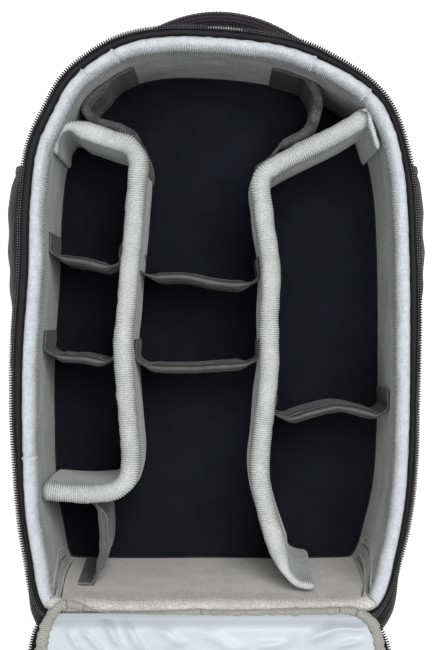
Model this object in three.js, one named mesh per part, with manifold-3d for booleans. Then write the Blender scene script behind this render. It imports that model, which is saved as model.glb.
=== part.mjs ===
// An open camera backpack. It lies on its back, with the front panel folded out over its lower end.
// Millimetres. Seen from above, +X is to the right and +Y towards the bag's top end. +Z is up.
// The origin is on the resting face of the back pad, below the middle of the opening.

import * as THREE from "three";
import { mergeVertices } from "three/addons/utils/BufferGeometryUtils.js";
import Module from "manifold-3d";

const wasm = await Module();
wasm.setup();

// Driving sizes of the body.
const openingWidth = 350; // over the padded wall at the rim
const openingLength = 520;
const bodyDepth = 172; // back of the shell to its rim
const padThickness = 22; // back pads, which hold the shell off the ground
const clothWall = 2.6;
const liningWall = 12.5;
const floorPad = 5;
const seat = 0.3; // gap between pieces that rest on each other
const sideBulge = 7; // fullness of the shell half way up
const topFlatness = 0.75; // share of that fullness which the upper end lacks
const endBulge = 28; // extra fullness of the lower end
const cornerBulge = 4; // extra fullness of the lower corners
const footLean = 15; // how far the foot of the lower wall stands in from its rim
const liningProud = 2; // the padded wall above the shell's rim
const liningRound = 3;

// Driving sizes of the zips.
const tapeWidth = 4.6;
const tapeThickness = 1.2;
const tapeDrop = 2; // the tape hangs a little outwards
const coilRadius = 1.5;
const sliderSize = { width: 9, length: 13, height: 4.4 };

// Driving sizes of the front panel.
const lidThickness = 8;
const lidEdge = -3; // the panel's edge outside the mirrored opening line
const lidShift = -2.5; // the panel hangs a little to the left
const lidLiningThickness = 1.6;
const bindingWidth = 11;
const bindingHeight = 4;
const hingeBindingWidth = 6;
const lidFlat = 30; // level stretch next to the hinge
const lidTapeWidth = 1.5;
const hingeGap = 1; // the panel stops this far from the opening line
const hingeStart = 0.6;
const lidRun = 360; // level distance over which the panel comes down to the ground

// Driving sizes of the dividers.
const greyThickness = 17;
const greyDrop = 20; // top of a grey divider below the rim
const greyRound = 6;
const darkThickness = 8;
const darkDrop = 48;
const tabThickness = 2;
const greySpacing = 13; // stations along the dividers
const darkSpacing = 11;

// Driving sizes of the side pockets and the grab handle.
const pocketWall = 2.2;
const pocketBulge = { left: 18, right: 12.5 };
const pocketHalfHeight = 58;
const handleReach = 32; // outer edge of the handle beyond the shell's top
const handleDrop = 36; // how far its ends lie below its middle
const handleSpan = 178;
const handleCentre = 1.5;
const handleThickness = 13;
const handleWidth = 24;
const handleHeight = 112;

// Driving sizes of the harness, which lies under the body.
const backPadSize = { width: 112, length: 206, centre: 30 };
const lumbarPadSize = { width: 150, length: 118, centre: -152 };
const padCorner = 22;
const padRound = 4;
const yokeSize = { width: 150, length: 36, thickness: 5, centre: 212 };
const strapWidth = 60;
const strapThickness = 11;
const webWidth = 25;
const webThickness = 1.8;
const ladderSize = { width: 36, length: 24, thickness: 6, slot: 4, rail: 4 };
const anchorSize = { length: 46, width: 52, thickness: 2.4 };

// What follows from them.
const halfWidth = openingWidth / 2;
const halfLength = openingLength / 2;
const rimHeight = padThickness + bodyDepth;
const floorBase = padThickness + clothWall + seat;
const floorTop = floorBase + floorPad;
const greyTop = rimHeight - greyDrop;
const darkTop = rimHeight - darkDrop;
const dividerFoot = floorTop + seat;
const shellOut = seat + clothWall; // the shell's outer face outside the padded wall
const strapLift = padThickness - 2 * seat - yokeSize.thickness - strapThickness;
const webLift = padThickness - 2 * seat - anchorSize.thickness - webThickness;

// Opening line: the outer edge of the padded wall at the rim, in shares of half the width and half the length,
// clockwise from the zip's left end. The last three rows are the lower edge, which has no zip.
const openingRows = [
  { x: -0.865, y: -0.987 },
  { x: -0.908, y: -0.945 },
  { x: -0.946, y: -0.81 },
  { x: -0.982, y: -0.65 },
  { x: -0.998, y: -0.38 },
  { x: -0.995, y: -0.1 },
  { x: -0.967, y: 0.18 },
  { x: -0.957, y: 0.42 },
  { x: -0.918, y: 0.62 },
  { x: -0.84, y: 0.74 },
  { x: -0.755, y: 0.842 },
  { x: -0.64, y: 0.91 },
  { x: -0.48, y: 0.97 },
  { x: -0.27, y: 0.998 },
  { x: -0.03, y: 0.997 },
  { x: 0.2, y: 0.983 },
  { x: 0.4, y: 0.957 },
  { x: 0.57, y: 0.91 },
  { x: 0.75, y: 0.84 },
  { x: 0.86, y: 0.762 },
  { x: 0.93, y: 0.655 },
  { x: 0.975, y: 0.5 },
  { x: 0.995, y: 0.26 },
  { x: 1, y: -0.08 },
  { x: 0.994, y: -0.38 },
  { x: 0.973, y: -0.61 },
  { x: 0.925, y: -0.79 },
  { x: 0.868, y: -0.935 },
  { x: 0.805, y: -0.988 },
  { x: 0.6, y: -1 },
  { x: 0, y: -1 },
  { x: -0.62, y: -1 },
];
const zipRows = 29; // the first rows, which carry the zip
const perSpan = 2;

// Body sections: height as a share of the depth, side as a share of the side bulge, end as a share of the end bulge.
const bodySections = [
  { height: 0, side: -1.4, end: 0.15 },
  { height: 0.06, side: -0.2, end: 0.6 },
  { height: 0.2, side: 0.55, end: 0.9 },
  { height: 0.5, side: 1, end: 1 },
  { height: 0.8, side: 0.7, end: 0.7 },
  { height: 0.96, side: 0, end: 0 },
  { height: 1, side: 0, end: 0 },
];

// Centre lines of the grey dividers, seen from above, in shares of half the width and half the length.
const leftDividerRows = [
  { x: -0.835, y: 0.6 },
  { x: -0.825, y: 0.655 },
  { x: -0.771, y: 0.694 },
  { x: -0.683, y: 0.684 },
  { x: -0.553, y: 0.656 },
  { x: -0.459, y: 0.633 },
  { x: -0.417, y: 0.59 },
  { x: -0.417, y: 0.508 },
  { x: -0.428, y: 0.368 },
  { x: -0.453, y: 0.245 },
  { x: -0.469, y: 0.088 },
  { x: -0.485, y: -0.07 },
  { x: -0.477, y: -0.21 },
  { x: -0.459, y: -0.351 },
  { x: -0.453, y: -0.473 },
  { x: -0.471, y: -0.547 },
  { x: -0.531, y: -0.584 },
  { x: -0.631, y: -0.595 },
  { x: -0.761, y: -0.597 },
  { x: -0.93, y: -0.589 },
];
const rightDividerRows = [
  { x: 0.9, y: 0.785 },
  { x: 0.782, y: 0.733 },
  { x: 0.718, y: 0.705 },
  { x: 0.573, y: 0.652 },
  { x: 0.43, y: 0.603 },
  { x: 0.307, y: 0.563 },
  { x: 0.246, y: 0.531 },
  { x: 0.229, y: 0.49 },
  { x: 0.242, y: 0.43 },
  { x: 0.258, y: 0.36 },
  { x: 0.276, y: 0.281 },
  { x: 0.283, y: 0.186 },
  { x: 0.283, y: 0.042 },
  { x: 0.28, y: -0.105 },
  { x: 0.263, y: -0.249 },
  { x: 0.242, y: -0.375 },
  { x: 0.234, y: -0.477 },
  { x: 0.242, y: -0.575 },
  { x: 0.266, y: -0.667 },
  { x: 0.297, y: -0.744 },
  { x: 0.334, y: -0.824 },
  { x: 0.368, y: -0.878 },
  { x: 0.425, y: -0.914 },
  { x: 0.52, y: -0.925 },
];

// Thickness of a grey divider along its line, in shares of its length and of its thickness: the end flaps are thin.
const leftFlapRows = [
  { at: 0, thickness: 0.3 },
  { at: 0.05, thickness: 0.3 },
  { at: 0.09, thickness: 1 },
  { at: 1, thickness: 1 },
];
const rightFlapRows = [
  { at: 0, thickness: 1 },
  { at: 0.9, thickness: 1 },
  { at: 0.945, thickness: 0.42 },
  { at: 1, thickness: 0.42 },
];

// Dark dividers. Points are shares of half the width and half the length. The first two and the last two points
// are the sewn tabs, which lie on the wall or on a grey divider. The middle points are the padded part.
const darkRows = [
  {
    name: "cradle_left",
    from: "wall",
    to: "left",
    points: [[-0.43, 0.93], [-0.53, 0.895], [-0.585, 0.86], [-0.66, 0.815], [-0.692, 0.775],
      [-0.655, 0.738], [-0.53, 0.71], [-0.43, 0.673], [-0.372, 0.6], [-0.36, 0.53]],
  },
  {
    name: "cradle_right",
    from: "wall",
    to: "right",
    points: [[0.3, 0.92], [0.41, 0.9], [0.485, 0.88], [0.53, 0.84], [0.545, 0.79],
      [0.515, 0.72], [0.46, 0.684], [0.35, 0.648], [0.25, 0.604], [0.19, 0.565]],
  },
  {
    name: "divider_left_upper",
    from: "wall",
    to: "left",
    points: [[-0.87, 0.335], [-0.87, 0.265], [-0.82, 0.237], [-0.7, 0.222], [-0.58, 0.207],
      [-0.53, 0.225], [-0.53, 0.295]],
  },
  {
    name: "divider_left_lower",
    from: "wall",
    to: "left",
    points: [[-0.88, -0.02], [-0.88, -0.09], [-0.83, -0.116], [-0.71, -0.122], [-0.6, -0.132],
      [-0.54, -0.11], [-0.54, -0.04]],
  },
  {
    name: "divider_middle_upper",
    from: "left",
    to: "right",
    points: [[-0.38, 0.27], [-0.38, 0.2], [-0.34, 0.176], [-0.17, 0.168], [0.02, 0.15],
      [0.17, 0.15], [0.22, 0.172], [0.22, 0.245]],
  },
  {
    name: "divider_middle_lower",
    from: "left",
    to: "right",
    points: [[-0.41, -0.05], [-0.41, -0.12], [-0.36, -0.148], [-0.18, -0.155], [0.0, -0.15],
      [0.16, -0.145], [0.21, -0.12], [0.21, -0.05]],
  },
  {
    name: "divider_right_cross",
    from: "right",
    to: "wall",
    points: [[0.335, -0.24], [0.335, -0.315], [0.39, -0.338], [0.5, -0.318], [0.62, -0.297], [0.7, -0.3],
      [0.8, -0.318], [0.86, -0.325], [0.89, -0.3], [0.89, -0.23]],
  },
  {
    name: "divider_corner",
    from: "left",
    to: "wall",
    points: [[-0.74, -0.65], [-0.66, -0.65], [-0.615, -0.68], [-0.6, -0.76], [-0.6, -0.84],
      [-0.62, -0.885], [-0.66, -0.91], [-0.74, -0.91]],
  },
];

// Side pockets: at runs from the pocket's upper end to its lower one, the others are shares of the bulge and height.
const pocketRows = [
  { at: 0, bulge: 0.15, height: 0.6 },
  { at: 0.03, bulge: 0.5, height: 0.78 },
  { at: 0.055, bulge: 0.78, height: 0.87 },
  { at: 0.09, bulge: 0.93, height: 0.95 },
  { at: 0.135, bulge: 1, height: 1 },
  { at: 0.215, bulge: 1, height: 1 },
  { at: 0.285, bulge: 0.92, height: 1 },
  { at: 0.36, bulge: 0.75, height: 1 },
  { at: 0.46, bulge: 0.55, height: 1 },
  { at: 0.6, bulge: 0.42, height: 0.97 },
  { at: 0.8, bulge: 0.3, height: 0.9 },
  { at: 1, bulge: 0.1, height: 0.75 },
];
const pocketEnds = { upper: 0.61, lower: -0.72 }; // shares of half the length

// Shoulder straps and their webbing, seen from above, in shares of half the width and half the length. Rise is a
// share of the height to the yoke, or for the webbing to its anchor.
const strapRows = [
  { x: 0.22, y: 0.83, rise: 1 },
  { x: 0.33, y: 0.74, rise: 1 },
  { x: 0.46, y: 0.62, rise: 0.5 },
  { x: 0.58, y: 0.45, rise: 0 },
  { x: 0.64, y: 0.22, rise: 0 },
  { x: 0.65, y: 0, rise: 0 },
  { x: 0.65, y: -0.1, rise: 0 },
  { x: 0.65, y: -0.2, rise: 0 },
];
const webRows = [
  { x: 0.65, y: -0.33, rise: 0 },
  { x: 0.666, y: -0.38, rise: 0 },
  { x: 0.7, y: -0.46, rise: 0 },
  { x: 0.75, y: -0.6, rise: 0.1 },
  { x: 0.79, y: -0.72, rise: 0.6 },
  { x: 0.815, y: -0.8, rise: 1 },
];

const vec2 = (x, y) => new THREE.Vector2(x, y);
const vec3 = (x, y, z) => new THREE.Vector3(x, y, z);
const smooth = (low, high, value) => THREE.MathUtils.smoothstep(value, low, high);

// Value of a column of a table at a share, straight between rows.
function readRow(rows, key, column, share) {
  const next = rows.findIndex((row) => row[key] >= share);
  if (next <= 0) return next < 0 ? rows.at(-1)[column] : rows[0][column];
  const [low, high] = [rows[next - 1], rows[next]];
  return THREE.MathUtils.mapLinear(share, low[key], high[key], low[column], high[column]);
}

// A closed clockwise line of points, set outwards by a distance or by a function of the point.
function outset(line, distance) {
  return line.map((point, i) => {
    const before = line[(i + line.length - 1) % line.length];
    const after = line[(i + 1) % line.length];
    const along = after.clone().sub(before).normalize();
    const far = typeof distance === "function" ? distance(point) : distance;
    return point.clone().add(vec2(-along.y, along.x).multiplyScalar(far));
  });
}

// A closed solid through rings with the same number of points. Open lofts get a fan at each end.
function loft(rings, { loop = false } = {}) {
  const count = rings[0].length;
  const points = rings.flat();
  const index = [];
  const spans = loop ? rings.length : rings.length - 1;
  for (let r = 0; r < spans; r++) {
    for (let i = 0; i < count; i++) {
      const [a, b] = [r * count + i, r * count + ((i + 1) % count)];
      const up = ((r + 1) % rings.length) * count - r * count;
      index.push(a, b, b + up, a, b + up, a + up);
    }
  }
  if (!loop) {
    for (const [ring, first, turn] of [[rings[0], 0, true], [rings.at(-1), (rings.length - 1) * count, false]]) {
      const middle = points.length;
      points.push(ring.reduce((sum, p) => sum.add(p), vec3(0, 0, 0)).divideScalar(count));
      for (let i = 0; i < count; i++) {
        const [a, b] = [first + i, first + ((i + 1) % count)];
        index.push(middle, turn ? b : a, turn ? a : b);
      }
    }
  }
  const geometry = new THREE.BufferGeometry().setFromPoints(points);
  geometry.setIndex(index);
  return faceOut(geometry);
}

// Turns a closed geometry's faces outwards.
function faceOut(geometry) {
  const p = geometry.attributes.position;
  const index = geometry.index.array;
  const corner = (i) => vec3().fromBufferAttribute(p, index[i]);
  let volume = 0;
  for (let i = 0; i < index.length; i += 3) volume += corner(i).dot(corner(i + 1).cross(corner(i + 2)));
  if (volume < 0) geometry.setIndex([...index].reverse());
  return geometry;
}

// Sweeps a section along stations with a point and its across and up directions. section(station, share) gives
// [across, up] pairs.
function sweep(stations, section, options) {
  const rings = stations.map((station, i) =>
    section(station, i / (stations.length - 1)).map(([across, up]) =>
      station.point.clone().addScaledVector(station.across, across).addScaledVector(station.up, up)));
  return loft(rings, options);
}

function toSolid(geometry) {
  const bare = geometry.clone();
  bare.deleteAttribute("normal");
  bare.deleteAttribute("uv");
  const merged = mergeVertices(bare, 1e-4);
  return new wasm.Manifold(new wasm.Mesh({
    numProp: 3,
    vertProperties: merged.attributes.position.array,
    triVerts: new Uint32Array(merged.index.array),
  }));
}

// The largest body of a cut solid, as a geometry.
function toGeometry(solid) {
  const body = solid.decompose().sort((a, b) => b.volume() - a.volume())[0];
  const made = body.getMesh();
  const geometry = new THREE.BufferGeometry();
  geometry.setAttribute("position", new THREE.BufferAttribute(new Float32Array(made.vertProperties), 3));
  geometry.setIndex(new THREE.BufferAttribute(new Uint32Array(made.triVerts), 1));
  return geometry;
}

// The opening line and the lines that follow it.
const openingCurve = new THREE.CatmullRomCurve3(
  openingRows.map((row) => vec3(row.x * halfWidth, row.y * halfLength, 0)), true, "centripetal");
const openingLine = openingCurve.getPoints(openingRows.length * perSpan).slice(0, -1).map((p) => vec2(p.x, p.y));
const zipCount = (zipRows - 1) * perSpan + 1;

// Share of the lower end's forms at a place along the bag, and of its corners' forms.
const lowerEnd = (y) => smooth(0.5, 0.95, -y / halfLength);
const lowerCorner = (p) => smooth(0.78, 0.95, -p.y / halfLength) * smooth(0.5, 0.8, Math.abs(p.x) / halfWidth);

// The opening line grown by a body section at a height share, set out by a distance.
function bodyRing(height, out) {
  const side = readRow(bodySections, "height", "side", height);
  const end = readRow(bodySections, "height", "end", height);
  const fullness = (p) => side * sideBulge * (1 - topFlatness * smooth(0.6, 0.97, p.y / halfLength));
  return outset(openingLine, (p) => out + fullness(p)).map((p) => vec3(
    p.x + end * cornerBulge * lowerCorner(p) * Math.sign(p.x),
    p.y - end * endBulge * lowerEnd(p.y),
    padThickness + height * bodyDepth));
}

// Leans the foot of the lower wall, and all that stands against it, inwards.
function leanFoot(point) {
  const below = (rimHeight - point.z) / bodyDepth;
  point.y += footLean * below * lowerEnd(point.y);
  return point;
}

function leanGeometry(geometry) {
  const p = geometry.attributes.position;
  for (let i = 0; i < p.count; i++) {
    const moved = leanFoot(vec3().fromBufferAttribute(p, i));
    p.setXYZ(i, moved.x, moved.y, moved.z);
  }
  return geometry;
}

const ringAt = (line, z) => line.map((p) => vec3(p.x, p.y, z));
const cavityLine = outset(openingLine, -liningWall);

// Outer cloth body: up the inside, over the rim and down the outside.
function shellGeometry() {
  const heights = bodySections.map((row) => row.height);
  const floorHeight = clothWall / bodyDepth;
  const inner = [floorHeight, ...heights.filter((h) => h > floorHeight)];
  return loft([
    ...inner.map((h) => bodyRing(h, seat)),
    ...heights.toReversed().map((h) => bodyRing(h, shellOut)),
  ]);
}

// Padded wall: up its outer side, which the shell's base draws in, over a rounded top and down its inner side.
function wallLiningGeometry() {
  const top = rimHeight + liningProud;
  const inside = (inset, z) => ringAt(outset(openingLine, -inset), z).map(leanFoot);
  const drawnIn = (z) => {
    const side = readRow(bodySections, "height", "side", (z - padThickness) / bodyDepth);
    return Math.max(-side * sideBulge, 0);
  };
  const knee = padThickness + bodySections[1].height * bodyDepth;
  const hip = padThickness + bodySections[2].height * bodyDepth;
  return loft([
    ...[floorBase, knee, hip].map((z) => inside(drawnIn(z), z)),
    inside(0, top - liningRound / 2),
    inside(liningRound, top),
    inside(liningWall - liningRound, top),
    inside(liningWall, top - liningRound),
    inside(liningWall, floorBase),
  ], { loop: true });
}

function floorLiningGeometry() {
  const line = outset(cavityLine, -seat);
  return leanGeometry(loft([ringAt(line, floorBase), ringAt(line, floorTop)]));
}

// Stations along the zip's stretch of the opening line, set out by a distance, with across pointing outwards.
function zipStations(out, place) {
  const line = outset(openingLine, out);
  return line.slice(0, zipCount).map((p, i) => {
    const outer = outset(openingLine, out + 1)[i].sub(p);
    return place(p, outer);
  });
}

const onRim = (p, outer) => ({
  point: vec3(p.x, p.y, rimHeight),
  across: vec3(outer.x, outer.y, 0),
  up: vec3(0, 0, 1),
});

// A flat tape from a start to an end distance, whose outer edge hangs by a drop.
function tapeSection(width, drop) {
  return () => [[0, 0], [width, -drop], [width, -drop - tapeThickness], [0, -tapeThickness]];
}

function coilSection() {
  return Array.from({ length: 5 }, (_, i) => {
    const turn = (i / 5) * 2 * Math.PI;
    return [coilRadius * Math.cos(turn), coilRadius * Math.sin(turn)];
  });
}

// Across the rim: shell, gap, tape, gap, coil.
const rimTapeStart = shellOut + seat;
const rimCoilCentre = rimTapeStart + tapeWidth + seat + coilRadius;
const coilDrop = tapeDrop + tapeThickness / 2;

function rimTapeGeometry() {
  return sweep(zipStations(rimTapeStart, onRim), tapeSection(tapeWidth, tapeDrop));
}

function rimCoilGeometry() {
  const low = (p, outer) => ({ ...onRim(p, outer), point: vec3(p.x, p.y, rimHeight - coilDrop) });
  return sweep(zipStations(rimCoilCentre, low), coilSection);
}

// Path of the opened front panel in the Y-Z plane: level at the hinge, an easy S down, then along the ground.
const hingeY = -halfLength - hingeGap;
const hingeZ = rimHeight + seat;
const lidFall = new THREE.CubicBezierCurve3(
  vec3(0, hingeY - lidFlat, hingeZ),
  vec3(0, hingeY - lidFlat - lidRun * 0.38, hingeZ),
  vec3(0, hingeY - lidFlat - lidRun * 0.58, 0),
  vec3(0, hingeY - lidFlat - lidRun, 0));
const fallLength = lidFall.getLength();

// Point and directions of the opened panel at x and a distance s from the hinge.
function onLid(x, s) {
  const fallShare = THREE.MathUtils.clamp((s - lidFlat) / fallLength, 0, 1);
  const level = Math.min(s, lidFlat) - lidFlat + Math.max(s - lidFlat - fallLength, 0);
  const point = lidFall.getPointAt(fallShare);
  const along = lidFall.getTangentAt(fallShare);
  return { point: vec3(x, point.y - level, point.z), along, up: vec3(0, along.z, -along.y) };
}

function raisedOnLid(x, s, height) {
  const place = onLid(x, s);
  return place.point.addScaledVector(place.up, height);
}

// Rows across the part of the panel that bends. Every piece of the panel has points on them, so all bend alike.
const bendRows = [0, 0.07, 0.14, 0.21, 0.28, 0.37, 0.47, 0.57, 0.67, 0.75, 0.82, 0.89, 0.95, 1]
  .map((share) => lidFlat + share * fallLength);

// Left and right edge of a line at a distance from the hinge.
function edgesAt(line, s) {
  const xs = [];
  for (let i = 1; i < line.length; i++) {
    const [a, b] = [line[i - 1], line[i]];
    if ((a.y - s) * (b.y - s) <= 0 && a.y !== b.y) xs.push(THREE.MathUtils.mapLinear(s, a.y, b.y, a.x, b.x));
  }
  return [Math.min(...xs), Math.max(...xs)];
}

// The mirrored opening line, set out by a distance, as x and distance from the hinge: up the left side on the
// bend rows, round the far end and back down the right side. It starts and ends at a distance from the hinge.
function lidLine(out, start) {
  const zipSide = outset(openingLine, out).slice(0, zipCount).map((p) => vec2(p.x + lidShift, p.y + halfLength));
  const whole = [vec2(zipSide[0].x, -liningWall), ...zipSide, vec2(zipSide.at(-1).x, -liningWall)];
  const rows = [start, ...bendRows.filter((s) => s > start)];
  const edges = rows.map((s) => edgesAt(whole, s));
  const left = edges.map(([x], i) => vec2(x, rows[i]));
  const right = edges.map(([, x], i) => vec2(x, rows[i])).reverse();
  const far = zipSide.filter((p, i) => openingLine[i].y + halfLength > bendRows.at(-1) + bindingWidth);
  return [...left, ...far, ...right];
}

// A sheet on the opened panel, between two heights above its underside, inside a line.
function lidSheet(out, start, low, high, edge) {
  const line = lidLine(out, start);
  const far = Math.max(...line.map((p) => p.y)) - 0.5;
  const last = bendRows.at(-1);
  const farRows = [0.35, 0.6, 0.8, 0.93, 0.985, 1].map((share) => last + share * (far - last));
  const rings = [start, ...bendRows, ...farRows].map((s) => {
    const [left, right] = edgesAt(line, s);
    const middle = (low + high) / 2;
    const round = Math.min(edge, (right - left) / 4);
    const profile = [[left, middle], [left + round, high], [right - round, high],
      [right, middle], [right - round, low], [left + round, low]];
    return profile.map(([x, h]) => raisedOnLid(x, s, h));
  });
  return loft(rings);
}

const lidPanelGeometry = () => lidSheet(lidEdge, hingeStart, 0, lidThickness, 3);

const lidLiningGeometry = () => lidSheet(
  lidEdge - bindingWidth - 1.5, hingeStart + hingeBindingWidth + 1, lidThickness + seat,
  lidThickness + seat + lidLiningThickness, 0.6);

const lidTapeStart = lidEdge + seat;
const lidCoilCentre = lidTapeStart + lidTapeWidth + seat + coilRadius;
const lidZipHeight = lidThickness * 0.7;

// A profile of [distance outside the opening line, height] pairs, carried round the panel's edge.
function lidTrim(profile) {
  const lines = profile.map(([out]) => lidLine(out, hingeStart));
  return loft(lines[0].map((_, i) => profile.map(([, height], k) => raisedOnLid(lines[k][i].x, lines[k][i].y, height))));
}

function lidTapeGeometry() {
  const outer = lidTapeStart + lidTapeWidth;
  const low = lidZipHeight - tapeThickness;
  return lidTrim([[lidTapeStart, lidZipHeight], [outer, lidZipHeight], [outer, low], [lidTapeStart, low]]);
}

const lidCoilGeometry = () => lidTrim(
  coilSection().map(([across, up]) => [lidCoilCentre + across, lidZipHeight - tapeThickness / 2 + up]));

// Binding round the panel: wide along the zip, narrow along the hinge.
function lidBindingGeometry() {
  const base = lidThickness + seat;
  const near = hingeStart + hingeBindingWidth;
  const zipSide = lidLine(lidEdge - bindingWidth, near).map((inner, i) => [inner, lidLine(lidEdge - 0.5, near)[i]]);
  const edge = zipSide.at(-1)[1].x;
  const hinge = [0.985, 0.5, 0, -0.5, -0.985].map((share) => [
    vec2(share * (edge - bindingWidth), near),
    vec2(share * edge, hingeStart + 0.5),
  ]);
  const rings = [...zipSide, ...hinge].map(([inner, outer]) =>
    [[0, 0], [0.18, 0.8], [0.5, 1], [0.82, 0.8], [1, 0]].map(([share, rise]) => {
      const p = inner.clone().lerp(outer, share);
      return raisedOnLid(p.x, p.y, base + rise * bindingHeight);
    }));
  return loft(rings, { loop: true });
}

// Slider at an end of the rim's zip: a rounded block with its pull lying along the zip.
function sliderGeometry(station, ahead) {
  const { width, length, height } = sliderSize;
  const shape = new THREE.Shape();
  shape.moveTo(-width / 2, 0);
  shape.lineTo(-width * 0.3, length / 2);
  shape.lineTo(width * 0.3, length / 2);
  shape.lineTo(width / 2, 0);
  shape.lineTo(width * 0.4, -length / 2);
  shape.lineTo(-width * 0.4, -length / 2);
  shape.closePath();
  const bevel = 0.6;
  const geometry = new THREE.ExtrudeGeometry(shape, {
    depth: height - 2 * bevel, bevelThickness: bevel, bevelSize: bevel, bevelOffset: -bevel, bevelSegments: 1,
  });
  geometry.translate(0, 0, bevel - height / 2);
  geometry.rotateZ(Math.atan2(ahead.y, ahead.x) - Math.PI / 2);
  geometry.translate(station.x, station.y, station.z);
  return geometry;
}

// Stations of a divider's centre line, spaced evenly.
function dividerStations(points, spacing) {
  const curve = new THREE.CatmullRomCurve3(points, false, "centripetal");
  const count = Math.ceil(curve.getLength() / spacing);
  return curve.getSpacedPoints(count).map((point, i) => {
    const along = curve.getTangentAt(i / count);
    return { point: vec3(point.x, point.y, 0), across: vec3(along.y, -along.x, 0), up: vec3(0, 0, 1) };
  });
}

const rowPoints = (rows) => rows.map((row) => vec3(row.x * halfWidth, row.y * halfLength, 0));

// An upright padded wall with a rounded top.
function uprightSection(half, foot, top, round) {
  return [[-half, foot], [half, foot], [half, top - round], [half * 0.7, top - round * 0.3], [0, top],
    [-half * 0.7, top - round * 0.3], [-half, top - round]];
}

const cavity = toSolid(loft([ringAt(outset(cavityLine, -seat), floorTop), ringAt(outset(cavityLine, -seat), rimHeight)]));

const greyDividers = {
  left: { stations: dividerStations(rowPoints(leftDividerRows), greySpacing), flaps: leftFlapRows },
  right: { stations: dividerStations(rowPoints(rightDividerRows), greySpacing), flaps: rightFlapRows },
};

// A grey divider, or with grow above 0 the room that it takes from its neighbours.
function greySolid(divider, grow = 0) {
  return toSolid(sweep(divider.stations, (station, share) => {
    const half = (greyThickness / 2) * readRow(divider.flaps, "at", "thickness", share) + grow;
    return uprightSection(half, dividerFoot - grow, greyTop + grow, greyRound);
  }));
}

const greyGeometry = (divider) => leanGeometry(toGeometry(greySolid(divider).intersect(cavity)));

// The nearest place on a line of points, and how far along it lies.
function nearestOn(line, point) {
  let best = { distance: Infinity };
  for (let i = 1; i < line.length; i++) {
    const span = new THREE.Line3(line[i - 1], line[i]);
    const place = span.closestPointToPoint(point, true, vec3());
    const distance = place.distanceTo(point);
    if (distance < best.distance) best = { distance, place };
  }
  return best.place;
}

// A tab's point: moved square to the face of what carries it.
function tabPoint(carrier, point) {
  const out = seat * 1.5 + tabThickness / 2;
  if (carrier === "wall") {
    const line = ringAt([...cavityLine, cavityLine[0]], 0);
    const place = nearestOn(line, point);
    const inwards = point.clone().sub(place).normalize();
    const within = point.length() < place.length();
    return place.addScaledVector(inwards, within ? out : -out);
  }
  const place = nearestOn(greyDividers[carrier].stations.map((s) => s.point), point);
  const away = point.clone().sub(place).normalize();
  return place.addScaledVector(away, greyThickness / 2 + out);
}

// A dark divider: thin tabs at both ends and a padded lens between them.
function darkGeometry({ from, to, points }) {
  const rough = points.map(([x, y]) => vec3(x * halfWidth, y * halfLength, 0));
  const tab = (carrier, a, b) => [a, a.clone().lerp(b, 0.5), b].map((p) => tabPoint(carrier, p));
  const places = [...tab(from, rough[0], rough[1]), ...rough.slice(2, -2), ...tab(to, rough.at(-2), rough.at(-1))];
  const stations = dividerStations(places, darkSpacing);
  const lengths = places.slice(1).map((p, i) => p.distanceTo(places[i]));
  const total = lengths.reduce((sum, d) => sum + d, 0);
  const start = (lengths[0] + lengths[1] + lengths[2] * 0.6) / total;
  const end = 1 - (lengths.at(-1) + lengths.at(-2) + lengths.at(-3) * 0.6) / total;
  const taper = 0.09;
  const thick = sweep(stations, (station, share) => {
    const fullness = smooth(start, start + taper, share) * (1 - smooth(end - taper, end, share));
    const half = THREE.MathUtils.lerp(tabThickness, darkThickness, fullness) / 2;
    return uprightSection(half, dividerFoot, darkTop, Math.min(half, 3));
  });
  const room = Object.values(greyDividers).map((divider) => greySolid(divider, seat * 0.8));
  const cut = room.reduce((solid, grey) => solid.subtract(grey), toSolid(thick).intersect(cavity));
  return leanGeometry(toGeometry(cut));
}

// The body's outside, grown by the seat, which is cut from what is sewn on it.
const grownBody = toSolid(loft(bodySections.toReversed().map((row) => bodyRing(row.height, shellOut + seat))));

// Side pocket: a cloth dish on the shell's side, open towards the shell.
function pocketGeometry(name, sideSign) {
  const level = 0.48;
  const middle = padThickness + bodyDepth * level;
  const ring = bodyRing(level, shellOut);
  const side = ring.map((p) => vec2(p.x * sideSign, p.y)).filter((p) => p.x > 0).sort((a, b) => b.y - a.y);
  const sideAt = (y) => {
    const next = side.findIndex((p) => p.y < y);
    const [high, low] = [side[next - 1], side[next]];
    return THREE.MathUtils.mapLinear(y, high.y, low.y, high.x, low.x);
  };
  const dish = (inset) => {
    const rings = pocketRows.map((row) => {
      const y = halfLength * THREE.MathUtils.lerp(pocketEnds.upper, pocketEnds.lower, row.at);
      const along = vec2(sideAt(y + 4) - sideAt(y - 4), 8).normalize();
      const bulge = pocketBulge[name] * row.bulge - inset;
      const height = pocketHalfHeight * row.height - inset;
      return Array.from({ length: 10 }, (_, k) => {
        const turn = (k / 10) * 2 * Math.PI;
        const reach = Math.max(bulge, 0.2) * Math.cos(turn);
        const out = reach > 0 ? reach : reach * 0.3 - 6;
        return vec3(
          sideSign * (sideAt(y) + out * along.y), y - out * along.x, middle + height * Math.sin(turn));
      });
    });
    return toSolid(loft(rings));
  };
  return toGeometry(dish(0).subtract(dish(pocketWall)).subtract(grownBody));
}

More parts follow.
